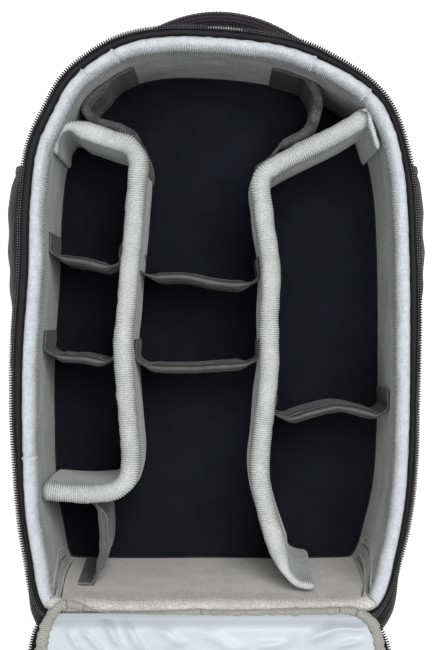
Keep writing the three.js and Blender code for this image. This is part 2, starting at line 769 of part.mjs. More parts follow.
// Grab handle: a padded arch in front of the shell's top, y = reach - drop * u * u over its half span.
function handleGeometry() {
  const top = Math.max(...bodyRing(0.5, shellOut).map((p) => p.y));
  const reach = handleReach - handleThickness / 2;
  const count = 14;
  const stations = Array.from({ length: count + 1 }, (_, i) => {
    const u = 1.12 * (2 * i / count - 1);
    const along = vec3(handleSpan / 2, -2 * handleDrop * u, 0).normalize();
    return {
      point: vec3(handleCentre + (u * handleSpan) / 2, top + reach - handleDrop * u * u, handleHeight),
      across: vec3(-along.y, along.x, 0),
      up: vec3(0, 0, 1),
    };
  });
  const section = () => Array.from({ length: 8 }, (_, k) => {
    const turn = (k / 8) * 2 * Math.PI;
    return [(handleThickness / 2) * Math.cos(turn), (handleWidth / 2) * Math.sin(turn)];
  });
  return toGeometry(toSolid(sweep(stations, section)).subtract(grownBody));
}

// A flat pad with rounded corners and edges, lying on the ground or hung under the body.
function padGeometry({ width, length, thickness, corner, round, x = 0, y, base }) {
  const [w, l, r] = [width / 2 - round, length / 2 - round, Math.max(corner - round, 1)];
  const shape = new THREE.Shape();
  shape.absarc(w - r, l - r, r, 0, Math.PI / 2);
  shape.absarc(-w + r, l - r, r, Math.PI / 2, Math.PI);
  shape.absarc(-w + r, -l + r, r, Math.PI, 1.5 * Math.PI);
  shape.absarc(w - r, -l + r, r, 1.5 * Math.PI, 2 * Math.PI);
  const geometry = new THREE.ExtrudeGeometry(shape, {
    depth: thickness - 2 * round, bevelThickness: round, bevelSize: round, bevelSegments: 1, curveSegments: 3,
  });
  return geometry.translate(x, y, base + round);
}

// A band of a width and thickness along rows of points, lifted by the rows' share of a height.
function bandGeometry(rows, sideSign, width, thickness, lift, round) {
  const points = rows.map((row) => vec3(sideSign * row.x * halfWidth, row.y * halfLength, row.rise * lift));
  const curve = new THREE.CatmullRomCurve3(points, false, "centripetal");
  const count = 13;
  const stations = curve.getSpacedPoints(count).map((point, i) => {
    const along = curve.getTangentAt(i / count);
    point.z = Math.max(point.z, 0);
    return { point, across: vec3(along.y, -along.x, 0).normalize(), up: vec3(0, 0, 1) };
  });
  const half = width / 2;
  return sweep(stations, () => [[-half + round, 0], [half - round, 0], [half, thickness / 2], [half - round, thickness],
    [-half + round, thickness], [-half, thickness / 2]]);
}

const ladderCentre = strapRows.at(-1).y * halfLength - 2 * seat - ladderSize.length / 2;
const webTop = ladderCentre - ladderSize.length / 2 - seat;

// Ladder lock: a plastic frame with two slots, between the padded strap and its webbing.
function ladderGeometry(sideSign) {
  const { width, length, thickness, slot, rail } = ladderSize;
  const box = (w, l, x, y) => {
    const path = new THREE.Shape();
    path.moveTo(x - w / 2, y - l / 2);
    path.lineTo(x + w / 2, y - l / 2);
    path.lineTo(x + w / 2, y + l / 2);
    path.lineTo(x - w / 2, y + l / 2);
    path.closePath();
    return path;
  };
  const frame = box(width, length, 0, 0);
  for (const y of [-1, 1]) frame.holes.push(box(width - 2 * rail, slot, 0, (y * (slot + rail)) / 2));
  const geometry = new THREE.ExtrudeGeometry(frame, { depth: thickness, bevelEnabled: false });
  return geometry.translate(sideSign * strapRows.at(-1).x * halfWidth, ladderCentre, 0);
}

// Sewn anchor tab at the body's lower corner, above the webbing's end.
function anchorGeometry(sideSign) {
  const { length, width, thickness } = anchorSize;
  const end = webRows.at(-1);
  const shape = new THREE.Shape();
  shape.moveTo(-webWidth / 2 - 2, length / 2);
  shape.lineTo(webWidth / 2 + 2, length / 2);
  shape.lineTo(width / 2, -length / 2);
  shape.lineTo(-width / 2, -length / 2);
  shape.closePath();
  const geometry = new THREE.ExtrudeGeometry(shape, { depth: thickness, bevelEnabled: false });
  return geometry.translate(sideSign * end.x * halfWidth, end.y * halfLength, padThickness - seat - thickness);
}

// Materials, with the colours of the real cloth and plastic.
const cloth = (color, roughness) => new THREE.MeshStandardMaterial({ color, roughness, metalness: 0 });
const blackCloth = cloth(0x232226, 0.85);
const greyVelour = cloth(0xb6b6b3, 0.95);
const paleCloth = cloth(0xc9d0d8, 0.8);
const darkVelour = cloth(0x3a3a3c, 0.95);
const floorCloth = cloth(0x1d1e26, 0.95);
const cornerVelour = cloth(0x77777a, 0.95);
const zipBlack = cloth(0x141416, 0.5);
const meshBlack = cloth(0x2a2a2d, 0.9);
const buckleBlack = cloth(0x18181a, 0.4);
const sliderMetal = new THREE.MeshStandardMaterial({ color: 0x3a3a3d, roughness: 0.4, metalness: 0.8 });

const bag = new THREE.Group();
bag.name = "open_camera_backpack";

function add(name, geometry, material) {
  const mesh = new THREE.Mesh(geometry, material);
  mesh.name = name;
  bag.add(mesh);
}

add("shell", shellGeometry(), blackCloth);
add("wall_lining", wallLiningGeometry(), paleCloth);
add("floor_lining", floorLiningGeometry(), floorCloth);
add("rim_zip_tape", rimTapeGeometry(), blackCloth);
add("rim_zip_coil", rimCoilGeometry(), zipBlack);

add("lid_panel", lidPanelGeometry(), blackCloth);
add("lid_lining", lidLiningGeometry(), paleCloth);
add("lid_binding", lidBindingGeometry(), greyVelour);
add("lid_zip_tape", lidTapeGeometry(), blackCloth);
add("lid_zip_coil", lidCoilGeometry(), zipBlack);

// The sliders stand just past the ends of the rim's coil.
const coilLine = outset(openingLine, rimCoilCentre);
for (const [name, end, inner] of [["left", 0, 1], ["right", zipCount - 1, zipCount - 2]]) {
  const ahead = coilLine[end].clone().sub(coilLine[inner]).normalize();
  const centre = coilLine[end].clone().addScaledVector(ahead, sliderSize.length / 2 + 2 * seat);
  const height = rimHeight - coilDrop;
  add(`zip_slider_${name}`, sliderGeometry(vec3(centre.x, centre.y, height), ahead), sliderMetal);
}

add("divider_left", greyGeometry(greyDividers.left), greyVelour);
add("divider_right", greyGeometry(greyDividers.right), greyVelour);
for (const row of darkRows) {
  add(row.name, darkGeometry(row), row.name === "divider_corner" ? cornerVelour : darkVelour);
}

for (const [name, sideSign] of [["left", -1], ["right", 1]]) {
  add(`side_pocket_${name}`, pocketGeometry(name, sideSign), blackCloth);
}
add("grab_handle", handleGeometry(), blackCloth);

const hungBase = (thickness) => padThickness - seat - thickness;
add("back_pad", padGeometry({
  ...backPadSize, y: backPadSize.centre, base: 0, thickness: padThickness - seat, corner: padCorner, round: padRound,
}), meshBlack);
add("lumbar_pad", padGeometry({
  ...lumbarPadSize, y: lumbarPadSize.centre, base: 0, thickness: padThickness - seat, corner: padCorner,
  round: padRound,
}), meshBlack);
add("harness_yoke", padGeometry({
  ...yokeSize, y: yokeSize.centre, base: hungBase(yokeSize.thickness), corner: 8, round: 1.2,
}), blackCloth);
for (const [name, sideSign] of [["left", -1], ["right", 1]]) {
  add(`shoulder_strap_${name}`, bandGeometry(strapRows, sideSign, strapWidth, strapThickness, strapLift, 4), meshBlack);
  add(`ladder_lock_${name}`, ladderGeometry(sideSign), buckleBlack);
  const webLine = [{ x: strapRows.at(-1).x, y: webTop / halfLength, rise: 0 }, ...webRows];
  add(`strap_webbing_${name}`, bandGeometry(webLine, sideSign, webWidth, webThickness, webLift, 0.6), blackCloth);
  add(`anchor_tab_${name}`, anchorGeometry(sideSign), blackCloth);
}

export default bag;
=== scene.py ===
import bmesh
import bpy
import numpy as np
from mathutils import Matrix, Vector


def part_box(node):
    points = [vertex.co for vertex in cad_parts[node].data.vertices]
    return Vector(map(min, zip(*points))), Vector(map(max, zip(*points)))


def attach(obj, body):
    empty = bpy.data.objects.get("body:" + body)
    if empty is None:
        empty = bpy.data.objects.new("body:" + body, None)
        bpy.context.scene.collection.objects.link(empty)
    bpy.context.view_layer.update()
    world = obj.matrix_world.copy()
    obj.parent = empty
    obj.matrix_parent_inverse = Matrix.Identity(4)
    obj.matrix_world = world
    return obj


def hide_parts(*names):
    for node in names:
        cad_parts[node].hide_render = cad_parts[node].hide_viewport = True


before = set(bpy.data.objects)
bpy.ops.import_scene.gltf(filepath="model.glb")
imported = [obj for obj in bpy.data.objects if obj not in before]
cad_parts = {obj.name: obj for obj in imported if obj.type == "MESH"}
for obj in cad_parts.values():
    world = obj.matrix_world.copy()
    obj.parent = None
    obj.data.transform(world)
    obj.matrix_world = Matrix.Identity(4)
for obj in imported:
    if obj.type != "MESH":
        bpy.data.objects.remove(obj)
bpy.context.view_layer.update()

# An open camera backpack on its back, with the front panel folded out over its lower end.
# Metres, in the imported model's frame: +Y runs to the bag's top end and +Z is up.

turn = 2 * np.pi


# Shape helpers

def smoothStep(low, high, value):  # s s (3 - 2 s), s the clipped share from low to high
    s = np.clip((value - low) / (high - low), 0, 1)
    return s * s * (3 - 2 * s)


def hump(value, centre, width):  # exp(-((value - centre) / width)^2)
    return np.exp(-((value - centre) / width) ** 2)


def unevenness(points, size, seed, waves=7):
    # sum over k of sin(2 pi d_k . p / (size f_k) + a_k), over sqrt(2 waves): slow swells of about +-0.5
    draw = np.random.default_rng(seed)
    ways = draw.normal(size=(waves, points.shape[-1]))
    ways /= np.linalg.norm(ways, axis=1, keepdims=True) * size * draw.uniform(0.7, 1.6, (waves, 1))
    phase = points @ ways.T * turn + draw.uniform(0, turn, waves)
    return np.sin(phase).sum(-1) / np.sqrt(2 * waves)


def smoothLine(knots, closed=False, perSpan=24):
    # centripetal Catmull-Rom: a u^3 + b u^2 + t1 u + p1 on each span, with tangents from the knots' spacing
    p = np.asarray(knots, float)
    if closed:
        p0, p1, p2, p3 = np.roll(p, 1, 0), p, np.roll(p, -1, 0), np.roll(p, -2, 0)
    else:
        longer = np.vstack([2 * p[0] - p[1], p, 2 * p[-1] - p[-2]])
        p0, p1, p2, p3 = longer[:-3], longer[1:-2], longer[2:-1], longer[3:]
    d0, d1, d2 = (np.sqrt(np.linalg.norm(b - a, axis=1, keepdims=True)) + 1e-9
                  for a, b in ((p0, p1), (p1, p2), (p2, p3)))
    t1 = ((p1 - p0) / d0 - (p2 - p0) / (d0 + d1) + (p2 - p1) / d1) * d1
    t2 = ((p2 - p1) / d1 - (p3 - p1) / (d1 + d2) + (p3 - p2) / d2) * d1
    u = np.linspace(0, 1, perSpan, endpoint=False)[None, :, None]
    a, b = 2 * p1 - 2 * p2 + t1 + t2, 3 * p2 - 3 * p1 - 2 * t1 - t2
    line = (a[:, None] * u ** 3 + b[:, None] * u ** 2 + t1[:, None] * u + p1[:, None]).reshape(-1, p.shape[1])
    return line if closed else np.vstack([line, p[-1:]])


def runOf(line, closed=False):  # length walked up to each point
    loop = np.vstack([line, line[:1]]) if closed else line
    return np.concatenate([[0], np.cumsum(np.linalg.norm(np.diff(loop, axis=0), axis=1))])


def evenly(line, count, closed=False):  # the same line at equal steps of its length
    loop = np.vstack([line, line[:1]]) if closed else line
    run = runOf(line, closed)
    at = np.linspace(0, run[-1], count, endpoint=not closed)
    return np.stack([np.interp(at, run, column) for column in loop.T], -1)


def unit(vectors):
    return vectors / (np.linalg.norm(vectors, axis=-1, keepdims=True) + 1e-12)


def leftOf(line, closed=False):  # unit normal (-dy, dx), which points out of a clockwise line
    ahead = np.roll(line, -1, 0) - np.roll(line, 1, 0) if closed else np.gradient(line, axis=0)
    return unit(np.stack([-ahead[:, 1], ahead[:, 0]], -1))


def ripple(run, pitch):  # triangle wave of +-1
    return 4 * np.abs((run / pitch) % 1 - 0.5) - 1


# Mesh helpers

def addPiece(name, points, quads, quadUv, skins, triangles=None, triangleUv=None, quadSkin=None, closed=True,
             **marks):
    # signed volume = sum of a . (b x c) / 6 over triangles; below zero, every face is turned round
    points = np.ascontiguousarray(points.reshape(-1, 3))
    if triangles is None:
        triangles, triangleUv = np.zeros((0, 3), int), np.zeros((0, 3, 2))
    fan = np.concatenate([quads[:, :3], quads[:, [0, 2, 3]], triangles])
    a, b, c = (points[fan[:, k]] for k in range(3))
    if closed and np.einsum("ij,ij->", a, np.cross(b, c)) < 0:
        quads, quadUv = quads[:, ::-1], quadUv[:, ::-1]
        triangles, triangleUv = triangles[:, ::-1], triangleUv[:, ::-1]
    mesh = bpy.data.meshes.new(name)
    mesh.vertices.add(len(points))
    mesh.vertices.foreach_set("co", points.ravel())
    corners = np.concatenate([quads.ravel(), triangles.ravel()])
    mesh.loops.add(len(corners))
    mesh.loops.foreach_set("vertex_index", corners)
    starts = np.concatenate([np.arange(len(quads)) * 4, len(quads) * 4 + np.arange(len(triangles)) * 3])
    mesh.polygons.add(len(starts))
    mesh.polygons.foreach_set("loop_start", starts)
    mesh.update(calc_edges=True)
    mesh.uv_layers.new(name="along").data.foreach_set(
        "uv", np.concatenate([quadUv.reshape(-1), triangleUv.reshape(-1)]))
    mesh.polygons.foreach_set("use_smooth", np.ones(len(starts), bool))
    for skin in skins:
        mesh.materials.append(skin)
    if quadSkin is not None:
        looks = np.concatenate([quadSkin.ravel(), np.zeros(len(triangles), int)])
        mesh.polygons.foreach_set("material_index", looks)
    for key, values in marks.items():  # sleek is 1 where the thread is smooth; the other mark is a painted shade, the share taken off the colour
        mesh.attributes.new(key, "FLOAT", "POINT").data.foreach_set("value", values)
    mesh.validate()
    piece = bpy.data.objects.new(name, mesh)
    bpy.context.scene.collection.objects.link(piece)
    return piece


def ringPiece(name, rings, skins, loop=False, caps=True, around=True, flatUv=False, quadSkin=None, swap=False,
              **marks):
    # rings[i, j]: ring i, place j round it. uv = (length across the rings, length round the middle ring)
    rowCount, columnCount = rings.shape[:2]
    i = np.arange(rowCount if loop else rowCount - 1)[:, None]
    j = np.arange(columnCount if around else columnCount - 1)[None, :]
    index = lambda row, column: (row % rowCount) * columnCount + column % columnCount
    quads = np.stack([index(i, j), index(i + 1, j), index(i + 1, j + 1), index(i, j + 1)], -1)
    middle = columnCount // 2
    along, across = runOf(rings[:, middle], loop), runOf(rings[rowCount // 2], around)
    spot = lambda row, column: np.stack(np.broadcast_arrays(
        *((across[column], along[row]) if swap else (along[row], across[column]))), -1)
    uv = np.stack([spot(i, j), spot(i + 1, j), spot(i + 1, j + 1), spot(i, j + 1)], -2)
    points, quads, uv = rings.reshape(-1, 3), quads.reshape(-1, 4), uv.reshape(-1, 4, 2)
    triangles = triangleUv = None
    if caps and not loop:
        ends, ring = [], np.arange(columnCount)
        poles = np.stack([rings[0].mean(0), rings[-1].mean(0)])
        for number, (first, turned) in enumerate(((0, False), ((rowCount - 1) * columnCount, True))):
            pole = np.full(columnCount, len(points) + number)
            pair = [first + ring, first + (ring + 1) % columnCount]
            ends.append(np.stack([pole, *(pair[::-1] if turned else pair)], -1))
        points, triangles = np.vstack([points, poles]), np.concatenate(ends)
        triangleUv = points[triangles][..., :2]
    if flatUv:
        uv = points[quads][..., :2]
    poles = np.zeros(len(points) - rowCount * columnCount)
    marks = {key: np.append(np.broadcast_to(values, (rowCount, columnCount)).ravel(), poles)
             for key, values in marks.items()}
    return addPiece(name, points, quads, uv, skins, triangles, triangleUv, quadSkin, caps or loop, **marks)


def carried(path, across, up, section):  # ring point = path + across a + up h for each (a, h) of the section
    section = np.broadcast_to(section, (len(path), *np.shape(section)[-2:]))
    return (path[:, None] + across[:, None] * section[..., :1] + up[:, None] * section[..., 1:])


def lift(line, z):  # a flat line of points at height z
    return np.concatenate([line, np.broadcast_to(np.asarray(z, float), line.shape[:1])[:, None]], 1)


def stitches(name, rows, skin, every=0.0034, length=0.0022, width=0.0007):
    # each stitch is a lozenge: tips at -+ length / 2 and two square rings of half that reach between them
    diamond = ((1, 0), (0, 1), (-1, 0), (0, -1))
    shape = np.array([(-0.5, 0, 0), *((x, y, z) for x in (-0.24, 0.24) for y, z in diamond),
                      (0.5, 0, 0)]) * (length, width / 2, width / 2)
    places, ahead, up = [], [], []
    for path, normals in rows:
        count = max(int(runOf(path)[-1] / every), 2)
        at, dense = np.linspace(0, 1, count), np.linspace(0, 1, len(path))
        places.append(evenly(path, count))
        ahead.append(unit(np.gradient(places[-1], axis=0)))
        spread = [np.interp(at, dense, part) for part in np.broadcast_to(normals, path.shape).T]
        up.append(unit(np.stack(spread, -1)))
    places, ahead, up = (np.concatenate(part) for part in (places, ahead, up))
    side = unit(np.cross(up, ahead))
    up = np.cross(ahead, side)
    points = (places[:, None] + ahead[:, None] * shape[:, :1] + side[:, None] * shape[:, 1:2]
              + up[:, None] * shape[:, 2:])
    ring = np.arange(4)
    after = (ring + 1) % 4
    start = np.arange(len(places))[:, None, None] * len(shape)
    quads = np.stack([1 + ring, 5 + ring, 5 + after, 1 + after], -1) + start
    tips = np.concatenate([np.stack([0 * ring, 1 + ring, 1 + after], -1),
                           np.stack([9 + 0 * ring, 5 + after, 5 + ring], -1)]) + start
    quads, tips = quads.reshape(-1, 4), tips.reshape(-1, 3)
    points = points.reshape(-1, 3)
    return addPiece(name, points, quads, points[quads][..., :2], [skin], tips, points[tips][..., :2])


def coil(name, path, out, up, skin, radius, wire, pitch, flatness):
    # centre + out r cos(a) + up r flatness sin(a), a = 2 pi s / pitch, carried on by
    # pitch (a - sin(a)) / 2 pi, so each turn stands square to the path at its outer side
    run = runOf(path)
    count = int(run[-1] / pitch * 10)
    angle = np.linspace(0, run[-1] / pitch * turn, count)[:, None]
    at = (angle - np.sin(angle))[:, 0] * pitch / turn
    spread = lambda rows: np.stack([np.interp(at, run, column) for column in rows.T], -1)
    path, out, up = spread(path), unit(spread(out)), unit(spread(up))
    core = path + out * radius * np.cos(angle) + up * radius * flatness * np.sin(angle)
    ahead = unit(np.gradient(core, axis=0))
    first = unit(np.cross(ahead, np.cross(up, out) + ahead * 0.01))
    second = np.cross(ahead, first)
    five = np.arange(5) / 5 * turn
    section = np.stack([np.cos(five), np.sin(five)], -1) * wire
    return ringPiece(name, carried(core, first, second, section), [skin])


def settle(piece, slot, *nodes, fill=None):
    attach(piece, "root")
    if nodes:
        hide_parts(*nodes)
    return piece


# Finishes

def tone(red, green, blue):  # sRGB share s -> ((s + 0.055) / 1.055) ^ 2.4
    share = np.array([red, green, blue]) / 255
    return (*np.where(share <= 0.04045, share / 12.92, ((share + 0.055) / 1.055) ** 2.4), 1.0)


def startSkin(name):
    material = bpy.data.materials.new(name)
    material.use_nodes = True
    tree = material.node_tree

    def make(kind, inputs=(), output=0, **settings):
        node = tree.nodes.new("ShaderNode" + kind)
        for key, value in settings.items():
            setattr(node, key, value)
        for socket, value in dict(inputs).items():
            if isinstance(value, bpy.types.NodeSocket):
                tree.links.new(value, node.inputs[socket])
            else:
                node.inputs[socket].default_value = value
        return node.outputs[output]

    return material, tree.nodes["Principled BSDF"], make, tree.links.new


def clothSkin(name, dark, pale, rib=None, cross=None, chevron=0.0, wobble=1.5, strength=0.6, fuzz=0.3,
              mottle=0.12, patch=16.0, bump=0.6, relief=0.0004, roughness=0.9, sheen=0.3, specular=0.12,
              flat=False):
    # thread = wave(u / rib) and wave(v / cross), fuzz = fine noise, cloth = mix(dark, pale, thread and fuzz),
    # then darkened in slow patches and by a painted shade read from a point attribute; the height is the
    # thread with the fuzz
    material, shader, make, link = startSkin(name)
    place = make("TexCoord", output=3)
    run = place if flat else make("TexCoord", output=2)
    if chevron:
        parts = make("SeparateXYZ", {0: run}).node.outputs
        zigzag = make("Math", {0: parts[1], 1: chevron}, operation="PINGPONG")
        shifted = make("Math", {0: parts[0], 1: zigzag}, operation="ADD")
        run = make("CombineXYZ", {0: shifted, 1: parts[1]})
    thread = None
    for pitch, way in ((rib, "X"), (cross, "Y")):
        if pitch:
            bands = make("TexWave", {"Vector": run, "Scale": turn / 20 / pitch, "Distortion": wobble,
                                     "Detail": 1.0, "Detail Scale": 1.5}, output=1, bands_direction=way)
            thread = bands if thread is None else make("Math", {0: thread, 1: bands}, operation="MULTIPLY")
    fine = make("TexNoise", {"Vector": place, "Scale": 620.0, "Detail": 3.0, "Roughness": 0.75})
    slow = make("TexNoise", {"Vector": place, "Scale": patch, "Detail": 4.0, "Roughness": 0.6})
    if thread is None:
        thread = fine
    sleek = make("Attribute", output=2, attribute_name="sleek")
    ribbed = make("Math", {0: 1.0, 1: sleek}, operation="SUBTRACT")
    thread = make("Math", {0: make("Math", {0: thread, 1: 0.7}, operation="SUBTRACT"), 1: ribbed, 2: 0.7},
                  operation="MULTIPLY_ADD")
    share = make("Math", {0: thread, 1: strength, 2: (1 - strength) * 0.5}, operation="MULTIPLY_ADD")
    share = make("Math", {0: fine, 1: fuzz, 2: share}, operation="MULTIPLY_ADD")
    share = make("Math", {0: share, 1: fuzz * 0.5}, operation="SUBTRACT", use_clamp=True)
    cloth = make("Mix", {0: share, 6: dark, 7: pale}, output=2, data_type="RGBA")
    shade = make("MapRange", {0: slow, 1: 0.3, 2: 0.7, 3: 1 - mottle, 4: 1 + mottle * 0.4})
    # a painted shade: the colour times one minus the painted-shade attribute
    lit = make("Math", {0: 1.0, 1: make("Attribute", output=2, attribute_name="dim")}, operation="SUBTRACT")
    shade = make("Math", {0: shade, 1: lit}, operation="MULTIPLY")
    cloth = make("Mix", {0: 1.0, 6: cloth, 7: shade}, output=2, data_type="RGBA", blend_type="MULTIPLY")
    link(cloth, shader.inputs["Base Color"])
    height = make("Math", {0: fine, 1: 0.35, 2: thread}, operation="MULTIPLY_ADD")
    link(make("Bump", {"Height": height, "Strength": bump, "Distance": relief}), shader.inputs["Normal"])
    shader.inputs["Roughness"].default_value = roughness
    shader.inputs["Sheen Weight"].default_value = sheen
    shader.inputs["Sheen Roughness"].default_value = 0.4
    shader.inputs["Specular IOR Level"].default_value = specular
    return material


def hardSkin(name, dark, pale, roughness=0.4, metallic=0.0, grain=900.0, relief=0.00008, specular=0.5):
    # colour = mix(dark, pale, slow noise); height and roughness come from a fine grain
    material, shader, make, link = startSkin(name)
    place = make("TexCoord", output=3)
    slow = make("TexNoise", {"Vector": place, "Scale": 60.0, "Detail": 5.0})
    fine = make("TexNoise", {"Vector": place, "Scale": grain, "Detail": 2.0})
    link(make("Mix", {0: slow, 6: dark, 7: pale}, output=2, data_type="RGBA"), shader.inputs["Base Color"])
    link(make("MapRange", {0: fine, 3: roughness - 0.08, 4: roughness + 0.12}), shader.inputs["Roughness"])
    link(make("Bump", {"Height": fine, "Strength": 0.5, "Distance": relief}), shader.inputs["Normal"])
    shader.inputs["Metallic"].default_value = metallic
    shader.inputs["Specular IOR Level"].default_value = specular
    return material


finishes = {
    "nylon": clothSkin("blackNylon", tone(10, 9, 11), tone(37, 34, 37), rib=0.0011, cross=0.0011, wobble=0.6,
                       strength=0.8, mottle=0.2, bump=0.7, relief=0.0003, roughness=0.7, sheen=0.08),
    "webbing": clothSkin("blackWebbing", tone(24, 21, 24), tone(82, 74, 79), rib=0.0016, cross=0.0034,
                         wobble=0.3,
                         strength=0.85, mottle=0.12, bump=0.8, relief=0.0005, roughness=0.75, sheen=0.2),
    "tape": clothSkin("zipTape", tone(19, 19, 20), tone(62, 62, 65), rib=0.0008, cross=0.0013, wobble=0.2,
                      strength=0.8, mottle=0.1, relief=0.0002, roughness=0.7, sheen=0.04),
    "mesh": clothSkin("spacerMesh", tone(12, 12, 13), tone(62, 62, 66), rib=0.0032, cross=0.0028, wobble=0.4,
                      strength=0.9, mottle=0.1, bump=1.0, relief=0.0009, roughness=0.85, sheen=0.2,
                      flat=True),
    "strip": clothSkin("paleStrip", tone(102, 104, 107), tone(212, 215, 219), rib=0.0021, wobble=1.6,
                       strength=0.7, fuzz=0.9, mottle=0.14, patch=150.0, bump=0.5, relief=0.0005,
                       roughness=0.75, sheen=0.2),
    "velour": clothSkin("greyVelour", tone(102, 103, 104), tone(205, 206, 206), rib=0.0021, wobble=1.8,
                        strength=0.7, fuzz=1.1, mottle=0.2, patch=40.0, bump=0.8, relief=0.0006, sheen=0.25),
    # the wall velour is a darker copy of the grey velour; its darker tone is painted shade on the inner
    # walls, its heavier mottle the cloth's own
    "wall": clothSkin("wallVelourPaintedShade", tone(86, 87, 88), tone(192, 193, 193), rib=0.0021, wobble=2.4,
                      strength=0.6, fuzz=1.3, mottle=0.3, patch=34.0, bump=0.8, relief=0.0006, sheen=0.2),
    "knit": clothSkin("lowerKnit", tone(144, 143, 140), tone(238, 236, 231), rib=0.0019, cross=0.0016,
                      wobble=6.0,
                      strength=0.5, fuzz=1.2, mottle=0.16, patch=30.0, bump=0.8, relief=0.0006, sheen=0.25),
    "darkVelour": clothSkin("darkVelour", tone(11, 11, 12), tone(110, 109, 109), rib=0.0021, wobble=3.5,
                            strength=0.3,
                            fuzz=1.4, mottle=0.6, patch=110.0, bump=0.7, relief=0.0006, sheen=0.2),
    "padCloth": clothSkin("padCloth", tone(15, 15, 16), tone(64, 63, 64), rib=0.0011, cross=0.0011,
                          wobble=0.8,
                          strength=0.6, fuzz=0.6, mottle=0.3, patch=50.0, bump=0.5, relief=0.0003,
                          roughness=0.45, sheen=0.3, specular=0.45),
    # the two next finishes are darker copies of the pad cloths for the pads' side faces: painted shade below
    # the crown
    "padSidesShaded": clothSkin("padSidesShadedCloth", tone(6, 6, 7), tone(33, 33, 34), rib=0.0011, cross=0.0011, wobble=0.8,
                         strength=0.5, fuzz=0.8, mottle=0.3, patch=50.0, bump=0.5, relief=0.0003, sheen=0.1),
    "cornerSidesShaded": clothSkin("cornerSidesShaded", tone(16, 16, 17), tone(62, 62, 63), rib=0.0021, wobble=3.0,
                               strength=0.35, fuzz=0.9, mottle=0.3, bump=0.6, relief=0.0005, sheen=0.2),
    "cornerVelour": clothSkin("cornerVelour", tone(34, 34, 35), tone(112, 112, 113), rib=0.0021, wobble=3.0,
                              strength=0.35, fuzz=0.9, mottle=0.3, bump=0.6, relief=0.0005, sheen=0.5),
    "floor": clothSkin("floorVelour", tone(9, 9, 12), tone(27, 28, 36), rib=0.0016, wobble=3.0, strength=0.4,
                       fuzz=0.6, mottle=0.25, patch=30.0, bump=0.5, relief=0.0004, sheen=0.35, flat=True),
    "satin": clothSkin("lidSatin", tone(158, 164, 171), tone(202, 208, 215), rib=0.0006, cross=0.0006,
                       wobble=0.5,
                       strength=0.5, fuzz=0.3, mottle=0.08, patch=8.0, bump=0.25, relief=0.0001,
                       roughness=0.4, sheen=0.1, specular=0.5),
    "binding": clothSkin("knitBinding", tone(106, 105, 101), tone(190, 188, 182), rib=0.0019, chevron=0.0026,
                         wobble=1.2, strength=0.5, fuzz=0.7, mottle=0.12, patch=60.0, bump=0.9, relief=0.0006,
                         sheen=0.3),
    "darkThread": hardSkin("darkThread", tone(22, 21, 23), tone(56, 54, 56), roughness=0.6, specular=0.2),
    "coilThread": hardSkin("coilThread", tone(78, 76, 78), tone(122, 119, 122), roughness=0.6, specular=0.3),
    "paleThread": hardSkin("paleThread", tone(150, 154, 160), tone(206, 210, 214), roughness=0.6),
    "greyThread": hardSkin("greyThread", tone(70, 70, 70), tone(110, 110, 108), roughness=0.6),
    "coil": hardSkin("coilNylon", tone(15, 15, 16), tone(41, 41, 43), roughness=0.5, specular=0.08),
    "plastic": hardSkin("mouldedPlastic", tone(18, 18, 20), tone(36, 36, 39), roughness=0.42),
    "metal": hardSkin("sliderLacquer", tone(40, 40, 43), tone(76, 76, 80), roughness=0.32, metallic=0.85),
}
print("finishes made:", len(finishes))


# The opening line, and the body that follows it

body = {
    "half": (0.175, 0.26),
    "depth": 0.172,
    "rest": 0.022,  # padding under the body
    "cloth": 0.0026,
    "lining": 0.0125,
    "gap": 0.0003,
    "sideBulge": 0.007,
    "topFlatness": 0.75,
    "endBulge": 0.028,
    "cornerBulge": 0.004,
    "footLean": 0.015,
    "floorTop": 0.0299,
}
halfWidth, halfLength = body["half"]
rim = body["rest"] + body["depth"]
openingKnots = np.array([
    (-0.865, -0.987), (-0.908, -0.945), (-0.946, -0.81), (-0.982, -0.65), (-0.998, -0.38), (-0.995, -0.1),
    (-0.967, 0.18), (-0.957, 0.42), (-0.918, 0.62), (-0.84, 0.74), (-0.755, 0.842), (-0.64, 0.91),
    (-0.48, 0.97),
    (-0.27, 0.998), (-0.03, 0.997), (0.2, 0.983), (0.4, 0.957), (0.57, 0.91), (0.75, 0.84), (0.86, 0.762),
    (0.93, 0.655), (0.975, 0.5), (0.995, 0.26), (1, -0.08), (0.994, -0.38), (0.973, -0.61), (0.925, -0.79),
    (0.868, -0.935), (0.805, -0.988), (0.6, -1), (0, -1), (-0.62, -1),
]) * body["half"]
zipKnots = 29  # the first knots, which carry the zip
roughLine = smoothLine(openingKnots, True, 40)
openingLine = evenly(roughLine, 1600, True)
openingOut = leftOf(openingLine, True)
zipLine = evenly(roughLine[:(zipKnots - 1) * 40 + 1], 2700)
zipOut = leftOf(zipLine)
# height, share of the side bulge, share of the end bulge
bodySections = smoothLine([(0, -1.4, 0.15), (0.06, -0.2, 0.6), (0.2, 0.55, 0.9), (0.5, 1, 1), (0.8, 0.7, 0.7),
                           (0.96, 0, 0), (1, 0, 0)])


def lowerEnd(y):
    return smoothStep(0.5, 0.95, -y / halfLength)


def bodySurface(line, out, height, reach):
    # p = line + out (reach + side bulge), then x += end cornerBulge corner, y -= end endBulge lowerEnd
    side, end = (np.interp(height, bodySections[:, 0], bodySections[:, k])[:, None] for k in (1, 2))
    flat = 1 - body["topFlatness"] * smoothStep(0.6, 0.97, line[:, 1] / halfLength)
    far = reach + side * body["sideBulge"] * flat
    x, y = line[:, 0] + out[:, 0] * far, line[:, 1] + out[:, 1] * far
    corner = smoothStep(0.78, 0.95, -y / halfLength) * smoothStep(0.5, 0.8, np.abs(x) / halfWidth)
    x = x + end * body["cornerBulge"] * corner * np.sign(x)
    y = y - end * body["endBulge"] * lowerEnd(y)
    z = np.broadcast_to((body["rest"] + height * body["depth"])[:, None], x.shape)
    return np.stack([x, y, z], -1)


